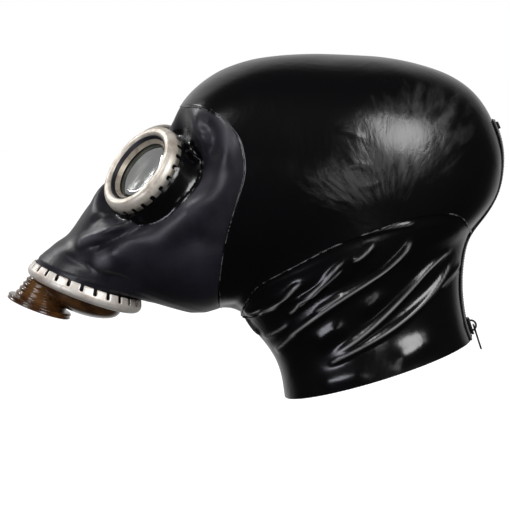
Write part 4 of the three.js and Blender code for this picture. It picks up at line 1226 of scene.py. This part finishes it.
def pull_shape():
    """Pull tab with a window below its hinge bar, a waist and a narrower end."""
    bar, length, rows = 1.2, 17.6, 26
    window_rows = (1, 9)
    tab = bmesh.new()
    bmesh.ops.create_grid(tab, x_segments=8, y_segments=rows, size=0.5)
    window = []
    for face in tab.faces:
        middle = face.calc_center_median()
        if abs(middle.x) < 0.25 and window_rows[0] < (0.5 - middle.y) * rows < window_rows[1]:
            window.append(face)
    bmesh.ops.delete(tab, geom=window, context="FACES")
    for vert in tab.verts:
        down = 0.5 - vert.co.y
        width = 5.9 - 1.3 * math.exp(-((down - 0.55) / 0.12) ** 2) - 1.6 * max(0, down - 0.85) / 0.15
        below_bar = max(0, down * rows - 1) / (rows - 1)
        along = bar / 2 - bar * min(1, down * rows) - length * below_bar
        vert.co = Vector((vert.co.x * width, along, 0)) * MM
    return tab


pull = pull_shape()
runner_turn = runner_place.to_3x3().to_4x4()
pull.transform(Matrix.Translation(Vector(pull_place)) @ runner_turn)
pull_piece = made("zip_pull_tab", pull, ENAMEL, [wall(1.1, 0), rounded(2)])
fitted(pull_piece, "pull", "zip_metal", "zip_pull")


# Floor, light and camera

def pale_floor():
    plaster = Finish("pale_floor", Roughness=0.9)
    mottle = plaster.speckle(3, 3, 0.5)
    plaster.shader.inputs["Emission Color"].default_value = (1, 1, 1, 1)
    plaster.shader.inputs["Emission Strength"].default_value = 0.15
    return plaster.paint(plaster.mix(mottle, (0.92, 0.92, 0.92, 1), (0.95, 0.95, 0.95, 1)), 0.9)


FLOOR_DROP = 0.42
FLOOR_RADIUS = 9

floor_bm = bmesh.new()
bmesh.ops.create_circle(floor_bm, cap_ends=True, radius=FLOOR_RADIUS, segments=96)
bmesh.ops.translate(floor_bm, vec=(0, 0, -FLOOR_DROP), verts=floor_bm.verts)
floor = made("floor", floor_bm, pale_floor())
floor.visible_glossy = False
floor.visible_diffuse = False


def area_light(name, place, aim, width, height, power, color=(1, 1, 1)):
    light = bpy.data.lights.new(name, "AREA")
    light.shape = "ELLIPSE"
    light.size = width
    light.size_y = height
    light.energy = power
    light.color = color
    lamp = bpy.data.objects.new(name, light)
    bpy.context.collection.objects.link(lamp)
    lamp.location = place
    lamp.rotation_mode = "QUATERNION"
    lamp.rotation_quaternion = (Vector(aim) - Vector(place)).to_track_quat("-Z", "Y")
    return lamp


area_light("key", (1.28, 0.86, 0.62), (0, 0.03, -0.08), 0.85, 0.85, 20)
area_light("near", (1.60, 0.24, -0.26), (0, 0.02, -0.08), 0.36, 0.32, 0.7)
area_light("low_front", (1.15, -1.15, -0.22), (0, -0.1, -0.13), 0.9, 0.38, 6.0, (0.88, 0.90, 1.0))
area_light("high_front", (0.95, -0.90, 1.10), (0, -0.1, -0.1), 0.5, 0.5, 8.0)
area_light("brow", (-0.80, -1.43, 0.90), (0, -0.12, -0.08), 1.0, 0.9, 4)
area_light("streak", (-0.72, -1.30, 0.84), (0, -0.12, -0.08), 0.03, 0.4, 4)

world = bpy.data.worlds.new("studio")
bpy.context.scene.world = world
world.use_nodes = True
sky = world.node_tree


def sky_range(direction, kind, *limits):
    """A strength that changes with one direction of the sky."""
    node = sky.nodes.new("ShaderNodeMapRange")
    node.interpolation_type = kind
    sky.links.new(direction, node.inputs["Value"])
    for name, limit in zip(("From Min", "From Max", "To Min", "To Max"), limits):
        node.inputs[name].default_value = limit
    return node.outputs["Result"]


def for_rays(kind, special, usual):
    """The special strength for one kind of ray and the usual one for the rest."""
    node = sky.nodes.new("ShaderNodeMix")
    node.data_type = "FLOAT"
    sky.links.new(rays.outputs[kind], node.inputs[0])
    sky.links.new(special, node.inputs[3])
    if usual is not None:
        sky.links.new(usual, node.inputs[2])
    else:
        node.inputs[2].default_value = 1.0
    return node.outputs[0]


coords = sky.nodes.new("ShaderNodeTexCoord")
split = sky.nodes.new("ShaderNodeSeparateXYZ")
sky.links.new(coords.outputs["Generated"], split.inputs[0])
rays = sky.nodes.new("ShaderNodeLightPath")
behind = sky_range(split.outputs["X"], "SMOOTHSTEP", -0.45, -0.95, 0.03, 0.6)
below = sky_range(split.outputs["Z"], "LINEAR", -0.6, 0.25, 0.15, 1.0)
strength = for_rays("Is Glossy Ray", behind, for_rays("Is Diffuse Ray", below, None))
background = sky.nodes["Background"]
sky.links.new(strength, background.inputs["Strength"])
background.inputs["Color"].default_value = (1, 1, 1, 1)

CAMERA_AIM = Vector((0, -0.0441, -0.1384))
CAMERA_ELEVATION = math.radians(5)
CAMERA_DISTANCE = 1.5

camera_data = bpy.data.cameras.new("camera")
camera_data.sensor_width = 36
camera_data.lens = 151.3
camera = bpy.data.objects.new("camera", camera_data)
bpy.context.collection.objects.link(camera)
away = Vector((math.cos(CAMERA_ELEVATION), 0, math.sin(CAMERA_ELEVATION)))
camera.location = CAMERA_AIM + CAMERA_DISTANCE * away
camera.rotation_mode = "QUATERNION"
camera.rotation_quaternion = (-away).to_track_quat("-Z", "Y")
bpy.context.scene.camera = camera
bpy.context.scene.view_settings.view_transform = "Standard"
